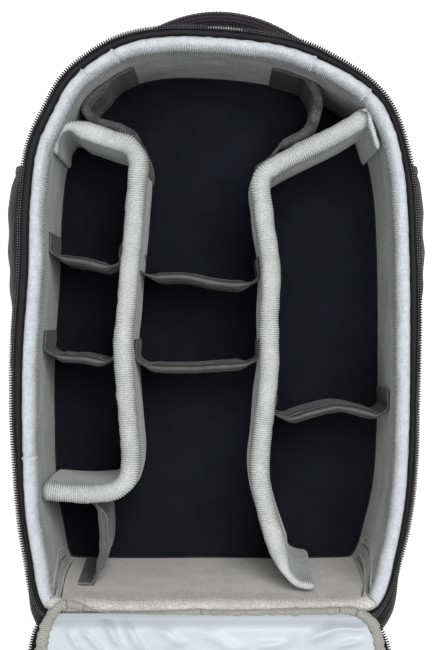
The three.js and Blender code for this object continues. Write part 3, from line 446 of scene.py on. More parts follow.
def leanIn(points):  # y += footLean (rim - z) / depth lowerEnd(y): the foot of the lower wall stands in
    below = (rim - points[..., 2]) / body["depth"]
    moved = points.copy()
    moved[..., 1] += body["footLean"] * below * lowerEnd(points[..., 1])
    return moved


def insetLine(line, out, distance, spread=9):  # the line set in, then evened over its neighbours
    moved = line - out * distance
    return sum(np.roll(moved, k, 0) for k in range(-spread, spread + 1)) / (2 * spread + 1)


cavityLine = insetLine(openingLine, openingOut, body["lining"])


# Outer body

shellLook = {"pipeHeights": (0.9, 0.12), "pipeRadius": 0.0016, "dents": 0.001, "gathers": 0.0007}


def outerShell():
    # rings: floor pole, up the inside, half a circle over the rim, down the outside, base pole
    inside, outside = body["gap"], body["gap"] + body["cloth"]
    line, out = openingLine[::2], openingOut[::2]
    insideRows, outsideRows = 8, 84
    bend = np.linspace(0, np.pi, 7)
    half = body["cloth"] / 2
    low = body["cloth"] / body["depth"]
    height = np.concatenate([np.linspace(low, 0.985, insideRows),
                             1 - half * (1 - np.sin(bend)) / body["depth"],
                             np.linspace(0.985, 0, outsideRows)])
    reach = np.concatenate([np.full(insideRows, inside), inside + half * (1 - np.cos(bend)),
                            np.full(outsideRows, outside)])
    outer = (np.arange(len(height)) > insideRows + len(bend))[:, None]
    plain = bodySurface(line, out, height, reach[:, None])
    pipes = sum(hump(height, at, 0.008) for at in shellLook["pipeHeights"])[:, None] * shellLook["pipeRadius"]
    near = sum(hump(height, at, 0.07) for at in shellLook["pipeHeights"])[:, None]
    middle = smoothStep(0.02, 0.3, height)[:, None] * smoothStep(0.98, 0.75, height)[:, None]
    dents = shellLook["dents"] * unevenness(plain * (1, 1, 1.6), 0.13, 3) * middle
    gathers = shellLook["gathers"] * unevenness(plain * (1, 1, 0.25), 0.016, 4) * near
    relief = reach[:, None] + outer * (pipes + dents + gathers)
    walls = bodySurface(line, out, height, relief)
    shares = np.array([0.04, 0.3, 0.6, 0.85])[:, None, None]
    floor, base = walls[0], walls[-1]
    inner, under = (np.concatenate([ring[:, :2] * shares,
                                    np.broadcast_to(ring[:, 2:], (4, len(ring), 1))], -1)
                    for ring in (floor, base))
    rings = np.concatenate([inner, walls, under[::-1]])
    return ringPiece("body_cloth", rings, [finishes["nylon"]], swap=True)


settle(outerShell(), "black_cloth", "shell")


def onBody(height, reach, first=0.0, last=1.0, count=600):  # a line round the body at a height share
    run = np.linspace(first, last, count) % 1 * len(openingLine)
    pick = run.astype(int) % len(openingLine)
    line = bodySurface(openingLine[pick], openingOut[pick], np.array([height]), reach)[0]
    return line, lift(openingOut[pick], 0.0)


bodySeams = [onBody(at + step, 0.0031) for at, step in ((0.9, 0.028), (0.9, -0.028), (0.12, 0.03))]
settle(stitches("body_stitches", bodySeams, finishes["darkThread"], every=0.0042), "black_cloth")
print("body made")


# Padded wall, and the pale strip along its rim

wallLook = {"swell": 0.0004, "lowerSwell": 0.0004, "tucks": 0.0005}
wallKnots = np.array([  # (inset, height above the rim): up the outer side, over the top, down the inner face
    (0.0, -0.12), (0.0, -0.06), (0.0, -0.012), (0.0004, -0.002), (0.0024, 0.0004), (0.006, 0.0012),
    (0.0096, 0.0002),
    (0.0118, -0.0026), (0.0124, -0.008), (0.0126, -0.03), (0.0126, -0.08), (0.0125, -0.13), (0.0125, -0.1665),
    (0.009, -0.1688), (0.003, -0.1688), (0.0, -0.16),
])


def paddedWall():
    # point = line - out (inset + swell sin(pi depth share) + tucks), its foot leant in
    section = evenly(smoothLine(wallKnots, True), 72, True)
    line = evenly(openingLine, 900, True)
    out = leftOf(line, True)
    inset, below = section[:, :1], section[:, 1:]
    inner = smoothStep(0.0095, 0.0123, inset) * (below < -0.004)
    drawn = np.maximum(-np.interp((rim + below - body["rest"]) / body["depth"], bodySections[:, 0],
                                  bodySections[:, 1]), 0) * body["sideBulge"]
    outer = inset < 0.004
    lower = smoothStep(0.93, 0.975, -line[:, 1] / halfLength)
    share = np.clip(-below / body["depth"], 0, 1)
    spots = np.stack(np.broadcast_arrays(line[:, 0], line[:, 1], below), -1)
    swell = inner * np.sin(np.pi * share) * (
        wallLook["swell"] * (1 + unevenness(spots, 0.09, 11)) + wallLook["lowerSwell"] * lower)
    tucks = inner * wallLook["tucks"] * unevenness(spots * (1, 1, 0.2), 0.014, 12) * hump(share, 0.03, 0.09)
    far = inset + swell + tucks + np.where(outer, drawn, 0)
    flat = line - out * far[..., None]
    flat = (flat + np.roll(flat, 1, 1) + np.roll(flat, -1, 1)
            + np.roll(flat, 2, 1) + np.roll(flat, -2, 1)) / 5
    z = rim + below + (lower - 1) * 0.0014 * (below > -0.006) + lower * 0.0012 * (below > -0.003)
    points = leanIn(np.concatenate([flat, np.broadcast_to(z, far.shape)[..., None]], -1))
    columns = line[:, 1] / halfLength < -0.972
    quadSkin = np.broadcast_to(columns.astype(int), (len(section), len(line)))
    smooth = 0.75 * smoothStep(0.01, 0.05, -below) * np.ones(len(line))
    return ringPiece("padded_wall", points, [finishes["wall"], finishes["knit"]], loop=True, swap=True,
                     quadSkin=quadSkin, sleek=smooth)


settle(paddedWall(), "grey_velour", "wall_lining", fill=0.8)

stripLook = {"rib": 0.0021, "ribDepth": 0.0006, "wander": 0.0006, "knots": np.array([
    (0.0002, -0.0014), (0.0006, 0.0008), (0.0022, 0.0022), (0.0048, 0.0027), (0.0074, 0.0021),
    (0.0098, 0.0002),
    (0.0116, -0.003), (0.0124, -0.0085), (0.0116, -0.0088), (0.0106, -0.0032), (0.0088, -0.0004),
    (0.0054, 0.001),
    (0.0024, 0.0002), (0.001, -0.0018),
]), "pleats": ((0.0886, 0.2394), (0.1363, 0.2082), (-0.0936, 0.2475), (-0.12, 0.228), (-0.178, -0.12))}


def rimStrip():
    # section carried along the zip's stretch; the inner part has ribs of ribDepth ripple(run / rib)
    section = evenly(smoothLine(stripLook["knots"], True), 34, True)
    normal = leftOf(section, True)
    run = runOf(zipLine)
    inset, height = section[:, 0], section[:, 1]
    spots = np.stack(np.broadcast_arrays(zipLine[:, :1], zipLine[:, 1:], inset[None]), -1)
    upper = (normal[:, 1] > -0.2) | (inset > 0.0118)
    start = 0.006 + 0.004 * smoothStep(0.5, 0.2, zipLine[:, 1:] / halfLength)
    ribbed = smoothStep(start, start + 0.003, inset)
    ribs = ripple(run, stripLook["rib"])[:, None] * ribbed * upper * stripLook["ribDepth"]
    marks = [run[np.argmin(np.linalg.norm(zipLine - spot, axis=1))] for spot in stripLook["pleats"]]
    pleats = sum(0.0009 * hump(run, at + 0.003, 0.002) - 0.0014 * hump(run, at, 0.0011)
                 for at in marks)[:, None]
    wander = stripLook["wander"] * unevenness(spots, 0.035, 21) * (inset > 0.004)
    uneven = 0.3 + 0.7 * smoothStep(0.3, 0.7, zipLine[:, 1:] / halfLength)
    crimps = 0.0006 * uneven * unevenness(spots, 0.0085, 22) * hump(inset, 0.0012, 0.002)
    relief = ribs + wander + crimps + pleats * upper
    ends = np.sqrt(np.clip(np.minimum(run, run[-1] - run) / 0.012, 0.02, 1))[:, None]
    across = normal[:, 0] * relief - inset
    rise = height * ends + np.abs(normal[:, 1]) * relief + (ends - 1) * 0.003
    rings = carried(lift(zipLine, rim), lift(zipOut, 0.0), np.tile((0, 0, 1.0), (len(run), 1)),
                    np.stack([across, rise], -1))
    return ringPiece("rim_strip", rings, [finishes["strip"]], sleek=1 - 0.95 * ribbed)


settle(rimStrip(), "pale_cloth", "wall_lining", fill=0.5)
upright = np.array((0, 0, 1.0))
stripSeam = lift(zipLine - zipOut * 0.0014, rim + 0.0019)
settle(stitches("strip_stitches", [(stripSeam, upright)], finishes["paleThread"], every=0.003, width=0.0006),
       "pale_cloth")


def lowerWall(x, depth, away):  # a point of the lower wall's inner face, moved away from it
    lower = cavityLine[cavityLine[:, 1] < -0.2]
    lower = lower[np.argsort(lower[:, 0])]
    return leanIn(np.stack([x, np.interp(x, *lower.T) + away, rim - depth], -1))


def cornerSeam(name, rows, skin):
    # a round cord on the lower wall through rows of (x, depth below the rim), thinner to its ends
    x, depth = evenly(smoothLine(rows), 300).T
    path = lowerWall(x, depth, 0.0008)
    run = runOf(path)
    ahead = unit(np.gradient(path, axis=0))
    side = unit(np.cross(ahead, (0, 1.0, 0)))
    angle = np.linspace(0, turn, 10, endpoint=False)
    thick = 0.0012 * np.sqrt(np.clip(np.minimum(run, run[-1] - run) / 0.02, 0.01, 1))[:, None, None]
    section = np.stack([np.cos(angle), np.sin(angle)], -1) * thick
    seam = lowerWall(x - np.sign(x) * 0.0019, depth, 0.0005)
    settle(stitches(f"{name}_stitches", [(seam, (0, 1.0, 0))], finishes["darkThread"], every=0.0022,
                    width=0.001), "grey_velour")
    return ringPiece(name, carried(path, side, np.cross(side, ahead), section), [skin])


cornerRows = {
    "left": [(-0.1475, 0.006), (-0.1495, 0.05), (-0.1505, 0.11), (-0.146, 0.152), (-0.13, 0.164)],
    "right": [(0.1395, 0.006), (0.145, 0.05), (0.147, 0.11), (0.142, 0.152), (0.124, 0.164)],
}
for name, rows in cornerRows.items():
    for number, step in enumerate((0.0, 0.0058)):
        moved = [(x - np.sign(x) * step, depth) for x, depth in rows]
        settle(cornerSeam(f"corner_seam_{name}_{number}", moved, finishes["knit"]), "grey_velour")


def paddedFloor():
    # rings shrink towards the middle; height = floor top + quilting of +-0.6 mm
    edge = insetLine(openingLine, openingOut, body["lining"] + 0.0004)[::4]
    shares = np.concatenate([np.linspace(0.02, 0.985, 60), [1.0, 1.0, 0.9, 0.5, 0.02]])[:, None]
    flat = edge * shares[..., None]
    low = np.concatenate([np.zeros(60), [0.002, 0.0044, 0.0047, 0.0047, 0.0047]])[:, None]
    quilt = 0.0006 * unevenness(flat, 0.03, 31) * (low == 0)
    points = np.concatenate([flat, (body["floorTop"] - low + quilt)[..., None]], -1)
    return ringPiece("floor_padding", leanIn(points), [finishes["floor"]], flatUv=True)


settle(paddedFloor(), "floor_cloth", "floor_lining", fill=0.8)
print("lining made")


# Dividers

greyLook = {"thickness": 0.017, "top": 0.174, "round": 0.0066, "rib": 0.0021, "ribDepth": 0.00062,
            "swell": 0.0011, "wander": 0.0011}
darkLook = {"thickness": 0.008, "top": 0.146, "round": 0.0036, "rib": 0.0021, "ribDepth": 0.0,
            "swell": 0.0009, "wander": 0.0012, "tab": 0.002}
foot = 0.0302


def uprightRows():
    side = np.concatenate([np.full(15, -1.0), -np.cos(np.linspace(0, np.pi, 17)), np.full(15, 1.0),
                           [0.3, -0.3]])
    rise = np.concatenate([np.linspace(0, 1, 16)[:15], np.ones(17), np.linspace(1, 0, 16)[1:], [0, 0]])
    crown = np.concatenate([np.zeros(15), np.sin(np.linspace(0, np.pi, 17)), np.zeros(17)])
    return side, rise, crown


def uprightPiece(name, path, half, look, skins, seed, top=None):
    # across = side half + relief, z = foot + rise (top - round - foot) + crown round, ribbed across the run
    side, rise, crown = uprightRows()
    run, left = runOf(path)[:, None], lift(leftOf(path), 0.0)
    top = look["top"] if top is None else top
    ends = np.sqrt(np.clip(1 - (1 - np.clip(np.minimum(run, run[-1] - run) / 0.006, 0, 1)) ** 2, 0.02, 1))
    spots = np.stack(np.broadcast_arrays(path[:, :1], path[:, 1:], rise[None] * look["top"]), -1)
    high = top + 0.0016 * unevenness(path, 0.11, seed)[:, None] - (1 - ends) * 0.004
    rounding = np.minimum(look["round"], half * 0.9)
    edge = 0.15 + 0.85 * np.abs(side) ** 2.5
    ribbed = np.where(crown > 0, edge, 0.5 * smoothStep(0.3, 1, rise))
    ribs = look["ribDepth"] * ripple(run, look["rib"]) * ribbed
    swell = look["swell"] * np.sin(np.pi * rise) * (1 + 1.2 * unevenness(spots, 0.06, seed + 1)) * (rise > 0)
    creases = 0.0004 * unevenness(spots * (1, 1, 0.3), 0.012, seed + 2) * smoothStep(0.5, 1, rise)
    sewn = -0.0005 * hump(rise, 0.93, 0.02) * (look["ribDepth"] == 0)
    relief = (ribs + (swell + creases + sewn) * np.minimum(half / 0.004, 1)) * ends
    away = np.where(crown > 0, side, np.sign(side) * (rise > 0))
    wander = look["wander"] * unevenness(path, 0.08, seed + 3)[:, None]
    across = side * half * ends + away * relief + wander
    z = foot + rise * (high - rounding - foot) + crown * (rounding * ends + relief)
    rings = carried(lift(path, 0.0), left, np.tile(upright, (len(path), 1)), np.stack([across, z], -1))
    patchy = 0.25 * unevenness(path, 0.09, seed + 4)[:, None]
    middle = np.where(crown > 0, 1 - np.abs(side) ** 2, 0)
    sleek = np.clip(0.75 * middle + patchy * (crown > 0) + 0.7 * smoothStep(0.97, 0.7, rise), 0, 1)
    # faces below the crown take the second skin, a darker copy of the crown cloth: painted shade
    place = np.arange(len(side))
    below = np.broadcast_to((place < 14) | (place > 31), (len(path) - 1, len(side)))
    quadSkin = below.astype(int) if len(skins) > 1 else None
    return ringPiece(name, leanIn(rings), skins, sleek=sleek, quadSkin=quadSkin)


def dividerPath(knots, step):
    line = smoothLine(np.array(knots) * body["half"])
    return evenly(line, int(runOf(line)[-1] / step))


greyKnots = {
    "left": [(-0.835, 0.6), (-0.825, 0.655), (-0.771, 0.694), (-0.683, 0.684), (-0.553, 0.656), (-0.459,
             0.633),
             (-0.417, 0.59), (-0.417, 0.508), (-0.428, 0.368), (-0.453, 0.245), (-0.469, 0.088), (-0.485,
             -0.07), (-0.477, -0.21), (-0.459, -0.351), (-0.453, -0.473), (-0.471, -0.547), (-0.531, -0.584),
             (-0.631, -0.595), (-0.761, -0.597), (-0.915, -0.589)],
    "right": [(0.81, 0.743), (0.718, 0.705), (0.573, 0.652), (0.43, 0.603), (0.307, 0.563), (0.246, 0.531),
              (0.229, 0.49), (0.242, 0.43), (0.258, 0.36), (0.276, 0.281), (0.283, 0.186), (0.283, 0.042),
              (0.28, -0.105), (0.263, -0.249), (0.242, -0.375), (0.234, -0.477), (0.242, -0.575), (0.266,
              -0.667), (0.297, -0.744), (0.334, -0.824), (0.368, -0.878), (0.425, -0.914), (0.52, -0.925)],
}
flapRows = {"left": ((0, 0.05, 0.09, 1), (0.3, 0.3, 1, 1)), "right": ((0, 0.9, 0.945, 1), (1, 1, 0.42, 0.42))}
greyPaths = {name: dividerPath(knots, greyLook["rib"] / 4) for name, knots in greyKnots.items()}
for seed, (name, path) in enumerate(greyPaths.items()):
    share = runOf(path) / runOf(path)[-1]
    half = greyLook["thickness"] / 2 * np.interp(share, *flapRows[name])[:, None]
    piece = uprightPiece(f"grey_divider_{name}", path, half, greyLook, [finishes["velour"]], 40 + 5 * seed)
    settle(piece, "grey_velour", f"divider_{name}", fill=0.8)

flapPath = dividerPath([(0.755, 0.752), (0.792, 0.748), (0.804, 0.71), (0.826, 0.665), (0.848, 0.615)],
                       0.0005)
settle(uprightPiece("divider_flap", flapPath, np.full((len(flapPath), 1), 0.0022), {**greyLook, "swell": 0.0},
                    [finishes["velour"]], 60, top=0.184), "grey_velour", fill=0.3)


def nearestOn(line, point):  # the nearest point of a dense line
    return line[np.argmin(np.linalg.norm(line - point, axis=1))]


def tabPoint(carrier, point):
    # moved square to the face that carries it: place + away (half thickness + tab)
    far = body["gap"] * 1.5 + darkLook["tab"] / 2
    if carrier == "wall":
        place = nearestOn(cavityLine, point)
        outside = np.linalg.norm(point) >= np.linalg.norm(place)
        inwards = unit(place - point) if outside else unit(point - place)
        return place + inwards * far
    place = nearestOn(greyPaths[carrier], point)
    return place + unit(point - place) * (greyLook["thickness"] / 2 + far)


darkRows = {
    "cradle_left": ("wall", "left", [(-0.43, 0.93), (-0.53, 0.895), (-0.585, 0.86), (-0.66, 0.815),
                                     (-0.692, 0.775),
                                     (-0.655, 0.738), (-0.53, 0.71), (-0.43, 0.673), (-0.372, 0.6), (-0.36,
                                     0.53)]),
    "cradle_right": ("wall", "right", [(0.3, 0.92), (0.41, 0.9), (0.485, 0.88), (0.53, 0.84), (0.545, 0.79),
                                       (0.515, 0.72), (0.46, 0.684), (0.35, 0.648), (0.25, 0.604), (0.19,
                                       0.565)]),
    "divider_left_upper": ("wall", "left", [(-0.87, 0.335), (-0.87, 0.265), (-0.82, 0.237), (-0.7, 0.222),
                                            (-0.58, 0.207), (-0.53, 0.225), (-0.53, 0.295)]),
    "divider_left_lower": ("wall", "left", [(-0.88, -0.02), (-0.88, -0.09), (-0.83, -0.116), (-0.71, -0.122),
                                            (-0.6, -0.132), (-0.54, -0.11), (-0.54, -0.04)]),
    "divider_middle_upper": ("left", "right", [(-0.38, 0.27), (-0.38, 0.2), (-0.34, 0.176), (-0.17, 0.168),
                                               (0.02, 0.15), (0.17, 0.15), (0.22, 0.172), (0.22, 0.245)]),
    "divider_middle_lower": ("left", "right", [(-0.41, -0.05), (-0.41, -0.12), (-0.36, -0.148), (-0.18,
                                               -0.155),
                                               (0.0, -0.15), (0.16, -0.145), (0.21, -0.12), (0.21, -0.05)]),
    "divider_right_cross": ("right", "wall", [(0.335, -0.24), (0.335, -0.315), (0.39, -0.338), (0.5, -0.318),
                                              (0.62, -0.297), (0.7, -0.3), (0.8, -0.318), (0.86, -0.325),
                                              (0.89, -0.3), (0.89, -0.23)]),
    "divider_corner": ("left", "wall", [(-0.74, -0.65), (-0.66, -0.65), (-0.615, -0.68), (-0.6, -0.76),
                                        (-0.6, -0.84), (-0.62, -0.885), (-0.66, -0.91), (-0.74, -0.91)]),
}
for seed, (name, (start, end, knots)) in enumerate(darkRows.items()):
    rough = np.array(knots) * body["half"]
    tabs = [[tabPoint(carrier, point) for point in (a, (a + b) / 2, b)]
            for carrier, (a, b) in ((start, rough[:2]), (end, rough[-2:]))]
    places = np.array([*tabs[0], *rough[2:-2], *tabs[1]])
    steps = np.diff(runOf(places))
    total = steps.sum()
    first = (steps[0] + steps[1] + steps[2] * 0.6) / total
    last = 1 - (steps[-1] + steps[-2] + steps[-3] * 0.6) / total
    line = smoothLine(places)
    path = evenly(line, int(runOf(line)[-1] / 0.0009))
    share = runOf(path)[:, None] / runOf(path)[-1]
    fullness = smoothStep(first, first + 0.09, share) * (1 - smoothStep(last - 0.09, last, share))
    half = (darkLook["tab"] + (darkLook["thickness"] - darkLook["tab"]) * fullness) / 2
    crown = "cornerVelour" if name == "divider_corner" else "padCloth" if "divider" in name else "darkVelour"
    # the side faces get the darker copy, a painted shade
    skins = [finishes[crown], finishes["cornerSidesShaded" if name == "divider_corner" else "padSidesShaded"]]
    piece = uprightPiece(f"{name}_pad", path, half, darkLook, skins, 70 + 5 * seed)
    settle(piece, "corner_velour" if name == "divider_corner" else "dark_velour", name, fill=0.6)
print("dividers made")


# Zip round the rim

zipLook = {"tapeStart": 0.0021, "drop": 0.002, "thickness": 0.0009, "radius": 0.0024, "wire": 0.0007,
           "pitch": 0.0023, "flatness": 0.42}


def tapeBand(name, path, out, up, start, end, drop, skin):
    # a flat woven band: section (start..end, 0..-drop) with a corded edge next to the coil
    share = np.linspace(0, 1, 14)
    end = np.broadcast_to(end, len(path))[:, None]
    rise = 0.0004 * hump(share, 0.86, 0.07) - drop * share
    top = np.stack(np.broadcast_arrays(start + (end - start) * share, rise), -1)
    under = top[:, ::-1] - (0, zipLook["thickness"])
    return ringPiece(name, carried(path, out, up, np.concatenate([top, under], 1)), [skin])


# x and y on the rim, and how far out the zip's turns reach there, from edges measured in the photo
reachRows = np.array([
    (-0.155, -0.25, 0.0084), (-0.172, -0.165, 0.0088), (-0.174, -0.13, 0.0098), (-0.174, -0.09, 0.0115),
    (-0.17, 0.0, 0.0124), (-0.165, 0.15, 0.0121), (-0.13, 0.215, 0.0112), (0.0, 0.26, 0.0112),
    (0.09, 0.24, 0.0112),
    (0.12, 0.225, 0.0097), (0.163, 0.16, 0.0095), (0.172, 0.12, 0.0109), (0.175, 0.0, 0.0112),
    (0.174, -0.075, 0.0096),
    (0.173, -0.11, 0.0103), (0.165, -0.19, 0.0091), (0.15, -0.24, 0.0064),
])
zipRun = runOf(zipLine)
reachSpots = [zipRun[np.argmin(np.linalg.norm(zipLine - row[:2], axis=1))] for row in reachRows]
zipReach = np.interp(zipRun, reachSpots, reachRows[:, 2])
coilLine = zipLine + zipOut * (zipReach - zipLook["radius"] - zipLook["wire"])[:, None]
coilSizes = [zipLook[key] for key in ("radius", "wire", "pitch", "flatness")]
zipFrame = lift(zipOut, 0.0), np.tile(upright, (len(zipLine), 1))
coilHeight = rim - zipLook["drop"] * 0.7 + 0.0012
sparse = slice(None, None, 3)
settle(tapeBand("rim_tape", lift(zipLine, rim + 0.0004)[sparse], zipFrame[0][sparse], zipFrame[1][sparse],
                zipLook["tapeStart"], zipReach[sparse] - 0.0025, zipLook["drop"], finishes["tape"]),
                "black_cloth",
       "rim_zip_tape")
settle(coil("rim_coil", lift(coilLine, coilHeight), *zipFrame, finishes["coil"], *coilSizes), "zip_coil",
       "rim_zip_coil")
tapeRows = [(lift(coilLine + zipOut * at, coilHeight + 0.0018), upright) for at in (-0.0008, 0.0009)]
settle(stitches("rim_coil_stitches", tapeRows, finishes["coilThread"], every=zipLook["pitch"], length=0.0014,
                width=0.0009), "black_cloth")
print("zip made")


# Front panel, folded out over the lower end

lidLook = {"edge": -0.003, "shift": -0.0025, "thickness": 0.008, "flat": 0.03, "run": 0.36, "gap": 0.001,
           "binding": 0.011, "bindingHeight": 0.0042, "hingeBinding": 0.006, "wrinkles": 0.0021}
hingeY, hingeZ = -halfLength - lidLook["gap"], rim + body["gap"]
share = np.linspace(0, 1, 1500)[:, None]
fallKnots = [np.array(p) for p in ((hingeY - lidLook["flat"], hingeZ),
                                   (hingeY - lidLook["flat"] - lidLook["run"] * 0.38, hingeZ),
                                   (hingeY - lidLook["flat"] - lidLook["run"] * 0.58, 0.0),
                                   (hingeY - lidLook["flat"] - lidLook["run"], 0.0))]
fallCurve = ((1 - share) ** 3 * fallKnots[0] + 3 * (1 - share) ** 2 * share * fallKnots[1]
             + 3 * (1 - share) * share ** 2 * fallKnots[2] + share ** 3 * fallKnots[3])
fallRun = runOf(fallCurve)
fallAhead = unit(np.gradient(fallCurve, axis=0))


def onPanel(x, s, height):
    # level for flat, then a cubic Bezier S to the ground, then level; height is square to the path
    s, height, x = (np.asarray(part, float) for part in np.broadcast_arrays(s, height, x))
    along = np.clip(s - lidLook["flat"], 0, fallRun[-1])
    level = np.minimum(s,
    lidLook["flat"]) - lidLook["flat"] + np.maximum(s - lidLook["flat"] - fallRun[-1], 0)
    y, z, dy, dz = (np.interp(along, fallRun, part) for part in (*fallCurve.T, *fallAhead.T))
    return np.stack([x, y - level + dz * height, z - dy * height], -1)


def panelUp(s):  # unit normal of the panel's path
    along = np.clip(s - lidLook["flat"], 0, fallRun[-1])
    dy, dz = (np.interp(along, fallRun, part) for part in fallAhead.T)
    return np.stack([0 * dy, dz, -dy], -1)


def panelTop(s):  # the thickness, 4.5 mm less at the hinge and full from 14 mm on
    return lidLook["thickness"] - 0.0045 * (1 - smoothStep(0.0, 0.014, np.asarray(s)))


def panelLine(out, count):  # the opening line mirrored about the hinge: (x, distance from the hinge)
    line = zipLine + zipOut * out
    line = np.stack([line[:, 0] + lidLook["shift"], line[:, 1] + halfLength], -1)
    keep = line[:, 1] > 0.0008
    line = line[np.argmax(keep):len(line) - np.argmax(keep[::-1])]
    return evenly(line, count)


def panelEdges(out, s):  # left and right edge at distances from the hinge
    line = panelLine(out, 1600)
    top = np.argmax(line[:, 1])
    left = np.interp(s, line[:top + 1, 1], line[:top + 1, 0])
    right = np.interp(s, line[top:, 1][::-1], line[top:, 0][::-1])
    return left, right


def panelSlab(name, out, start, low, high, skins, relief=None, rows=260, edge=0.003, reach=0.0006, square=0.0,
              dimmed=0.0):
    # ring at each distance: rounded slab from the left to the right edge, between two heights
    far = panelLine(out, 1600)[:, 1].max() - reach
    s = start + (far - start) * np.sin(np.linspace(0, np.pi / 2, rows)) ** 1.15
    left, right = panelEdges(out, np.maximum(s, square))
    flat = np.linspace(0, 1, 90)
    bend = np.linspace(0, np.pi, 7)[1:-1]
    middle, half = (low + high) / 2, (high - low) / 2
    edge = np.minimum(edge, (right - left) / 4)[:, None]
    left, right = left[:, None], right[:, None]
    x = np.concatenate([left + edge + (right - left - 2 * edge) * flat, right - edge + edge * np.sin(bend),
                        right - edge - (right - left - 2 * edge) * flat,
                        left + edge - edge * np.sin(bend)], 1)
    height = np.concatenate([np.full(90, high), middle + half * np.cos(bend), np.full(90, low),
                             middle - half * np.cos(bend)])
    height = np.broadcast_to(height, x.shape)
    s = np.broadcast_to(s[:, None], x.shape)
    if relief is not None:
        height = height + relief(x, s, height > middle)
    # a painted shade near the hinge: full depth at the hinge, gone by 14 mm
    return ringPiece(name, onPanel(x, s, height), skins, dim=dimmed * (1 - smoothStep(0.001, 0.014, s)))


def panelSwell(x, s, top):  # cloth over foam: slow swells of 1 mm, seen on the underside
    under = -0.0012 * unevenness(np.stack([x, s], -1), 0.09, 90) * smoothStep(0.42, 0.1, s)
    return np.where(top, panelTop(s) - lidLook["thickness"], under)


settle(panelSlab("front_panel", lidLook["edge"], 0.0007, 0.0, lidLook["thickness"], [finishes["nylon"]],
                 panelSwell, edge=0.004), "black_cloth", "lid_panel", fill=0.7)


creaseRows = np.array([  # from (x, s) to (x, s), half width and height: the creases next to the hinge
    (-0.133, 0.0145, -0.121, 0.0285, 0.0022, 0.0017), (-0.118, 0.0154, -0.1, 0.03, 0.0024, 0.0017),
    (-0.1, 0.006, -0.085, 0.0245, 0.0028, 0.0019), (-0.081, 0.009, -0.066, 0.028, 0.0026, 0.0016),
    (-0.052, 0.013, -0.028, 0.024, 0.004, 0.0012), (-0.01, 0.016, 0.022, 0.03, 0.005, 0.0012),
    (0.084, 0.022, 0.104, 0.0095, 0.004, 0.0016), (0.11, 0.028, 0.128, 0.02, 0.0024, 0.0014),
    (0.035, 0.029, 0.062, 0.022, 0.004, 0.0012), (0.105, 0.012, 0.135, 0.009, 0.0022, 0.001),
])


def satinWrinkles(x, s, top):
    # folded sines on two slants in slow patches; and along each crease row height exp(-(across / width)^2)
    # exp(-(along / half length)^4)
    p = np.stack([x, s], -1)
    bend = 0.02 * unevenness(p, 0.12, 91)
    slant = ripple(x * 0.62 + s * 0.9 + bend, 0.034) * 0.5 + 0.5
    second = ripple(x * -0.35 + s * 1.0 + 0.03 * unevenness(p, 0.15, 92), 0.055) * 0.5 + 0.5
    mask = smoothStep(-0.2, 0.5, unevenness(p, 0.11, 93)), smoothStep(-0.1, 0.5, unevenness(p, 0.1, 94))
    rise = slant ** 2 * mask[0] + 0.8 * second ** 3 * mask[1] + 0.3 * unevenness(p, 0.04, 95)
    left, right = panelEdges(lidLook["edge"] - lidLook["binding"], s[:, 0])
    near = np.minimum(np.minimum(x - left[:, None], right[:, None] - x), s - 0.012)
    height = lidLook["wrinkles"] * rise * smoothStep(0.0, 0.02, near)
    for x0, s0, x1, s1, width, high in creaseRows:
        size = np.hypot(x1 - x0, s1 - s0)
        ahead = (x1 - x0) / size, (s1 - s0) / size
        along = (x - x0) * ahead[0] + (s - s0) * ahead[1] - size / 2
        across = (x - x0) * ahead[1] - (s - s0) * ahead[0] + 0.0012 * np.sin(along * 190)
        height = height + 2.0 * high * np.exp(-(across / width) ** 2) * np.exp(-(along / size * 1.9) ** 4)
    return height * top + panelTop(s) - lidLook["thickness"]


satinEdge, satinStart, satinCorner = lidLook["edge"] - lidLook["binding"] + 0.0055, -0.0025, 0.013
# the satin lining is darkened by 0.34 at the hinge, a painted shadow of the hinge roll
satin = settle(panelSlab("panel_lining", satinEdge, satinStart, lidLook["thickness"] + 0.0003,
                         lidLook["thickness"] + 0.0015, [finishes["satin"]], satinWrinkles, rows=420,
                         edge=0.0006, square=satinCorner, dimmed=0.34), "pale_cloth", "lid_lining")
cutRun = np.linspace(satinStart, panelLine(satinEdge, 1600)[:, 1].max(), 2000)
cutLeft, cutRight = panelEdges(satinEdge, np.maximum(cutRun, satinCorner))


def panelBinding():
    # a crowned knit band round the panel: share across from the inner to the outer line,
    # height sin(pi share)^0.6
    outer, inner = (panelLine(lidLook["edge"] + out, 1500)[30:-30] for out in (0.0006, -lidLook["binding"]))
    share = np.linspace(0, 1, 15)
    spots = outer[:, None] * (1 - share[:, None]) + inner[:, None] * share[:, None]
    wander = 0.0007 * unevenness(spots, 0.02, 96)
    crown = np.sin(np.pi * share) ** 0.6
    x, s = spots[..., 0], spots[..., 1]
    height = panelTop(s) + 0.0003 + crown * (lidLook["bindingHeight"] + wander)
    under = onPanel(x[:, ::-1], s[:, ::-1], panelTop(s[:, ::-1]) + 0.0001)[:, 1:-1]
    rings = np.concatenate([onPanel(x, s, height), under], 1)
    return ringPiece("panel_binding", rings, [finishes["binding"]])


settle(panelBinding(), "grey_velour", "lid_binding", fill=0.5)

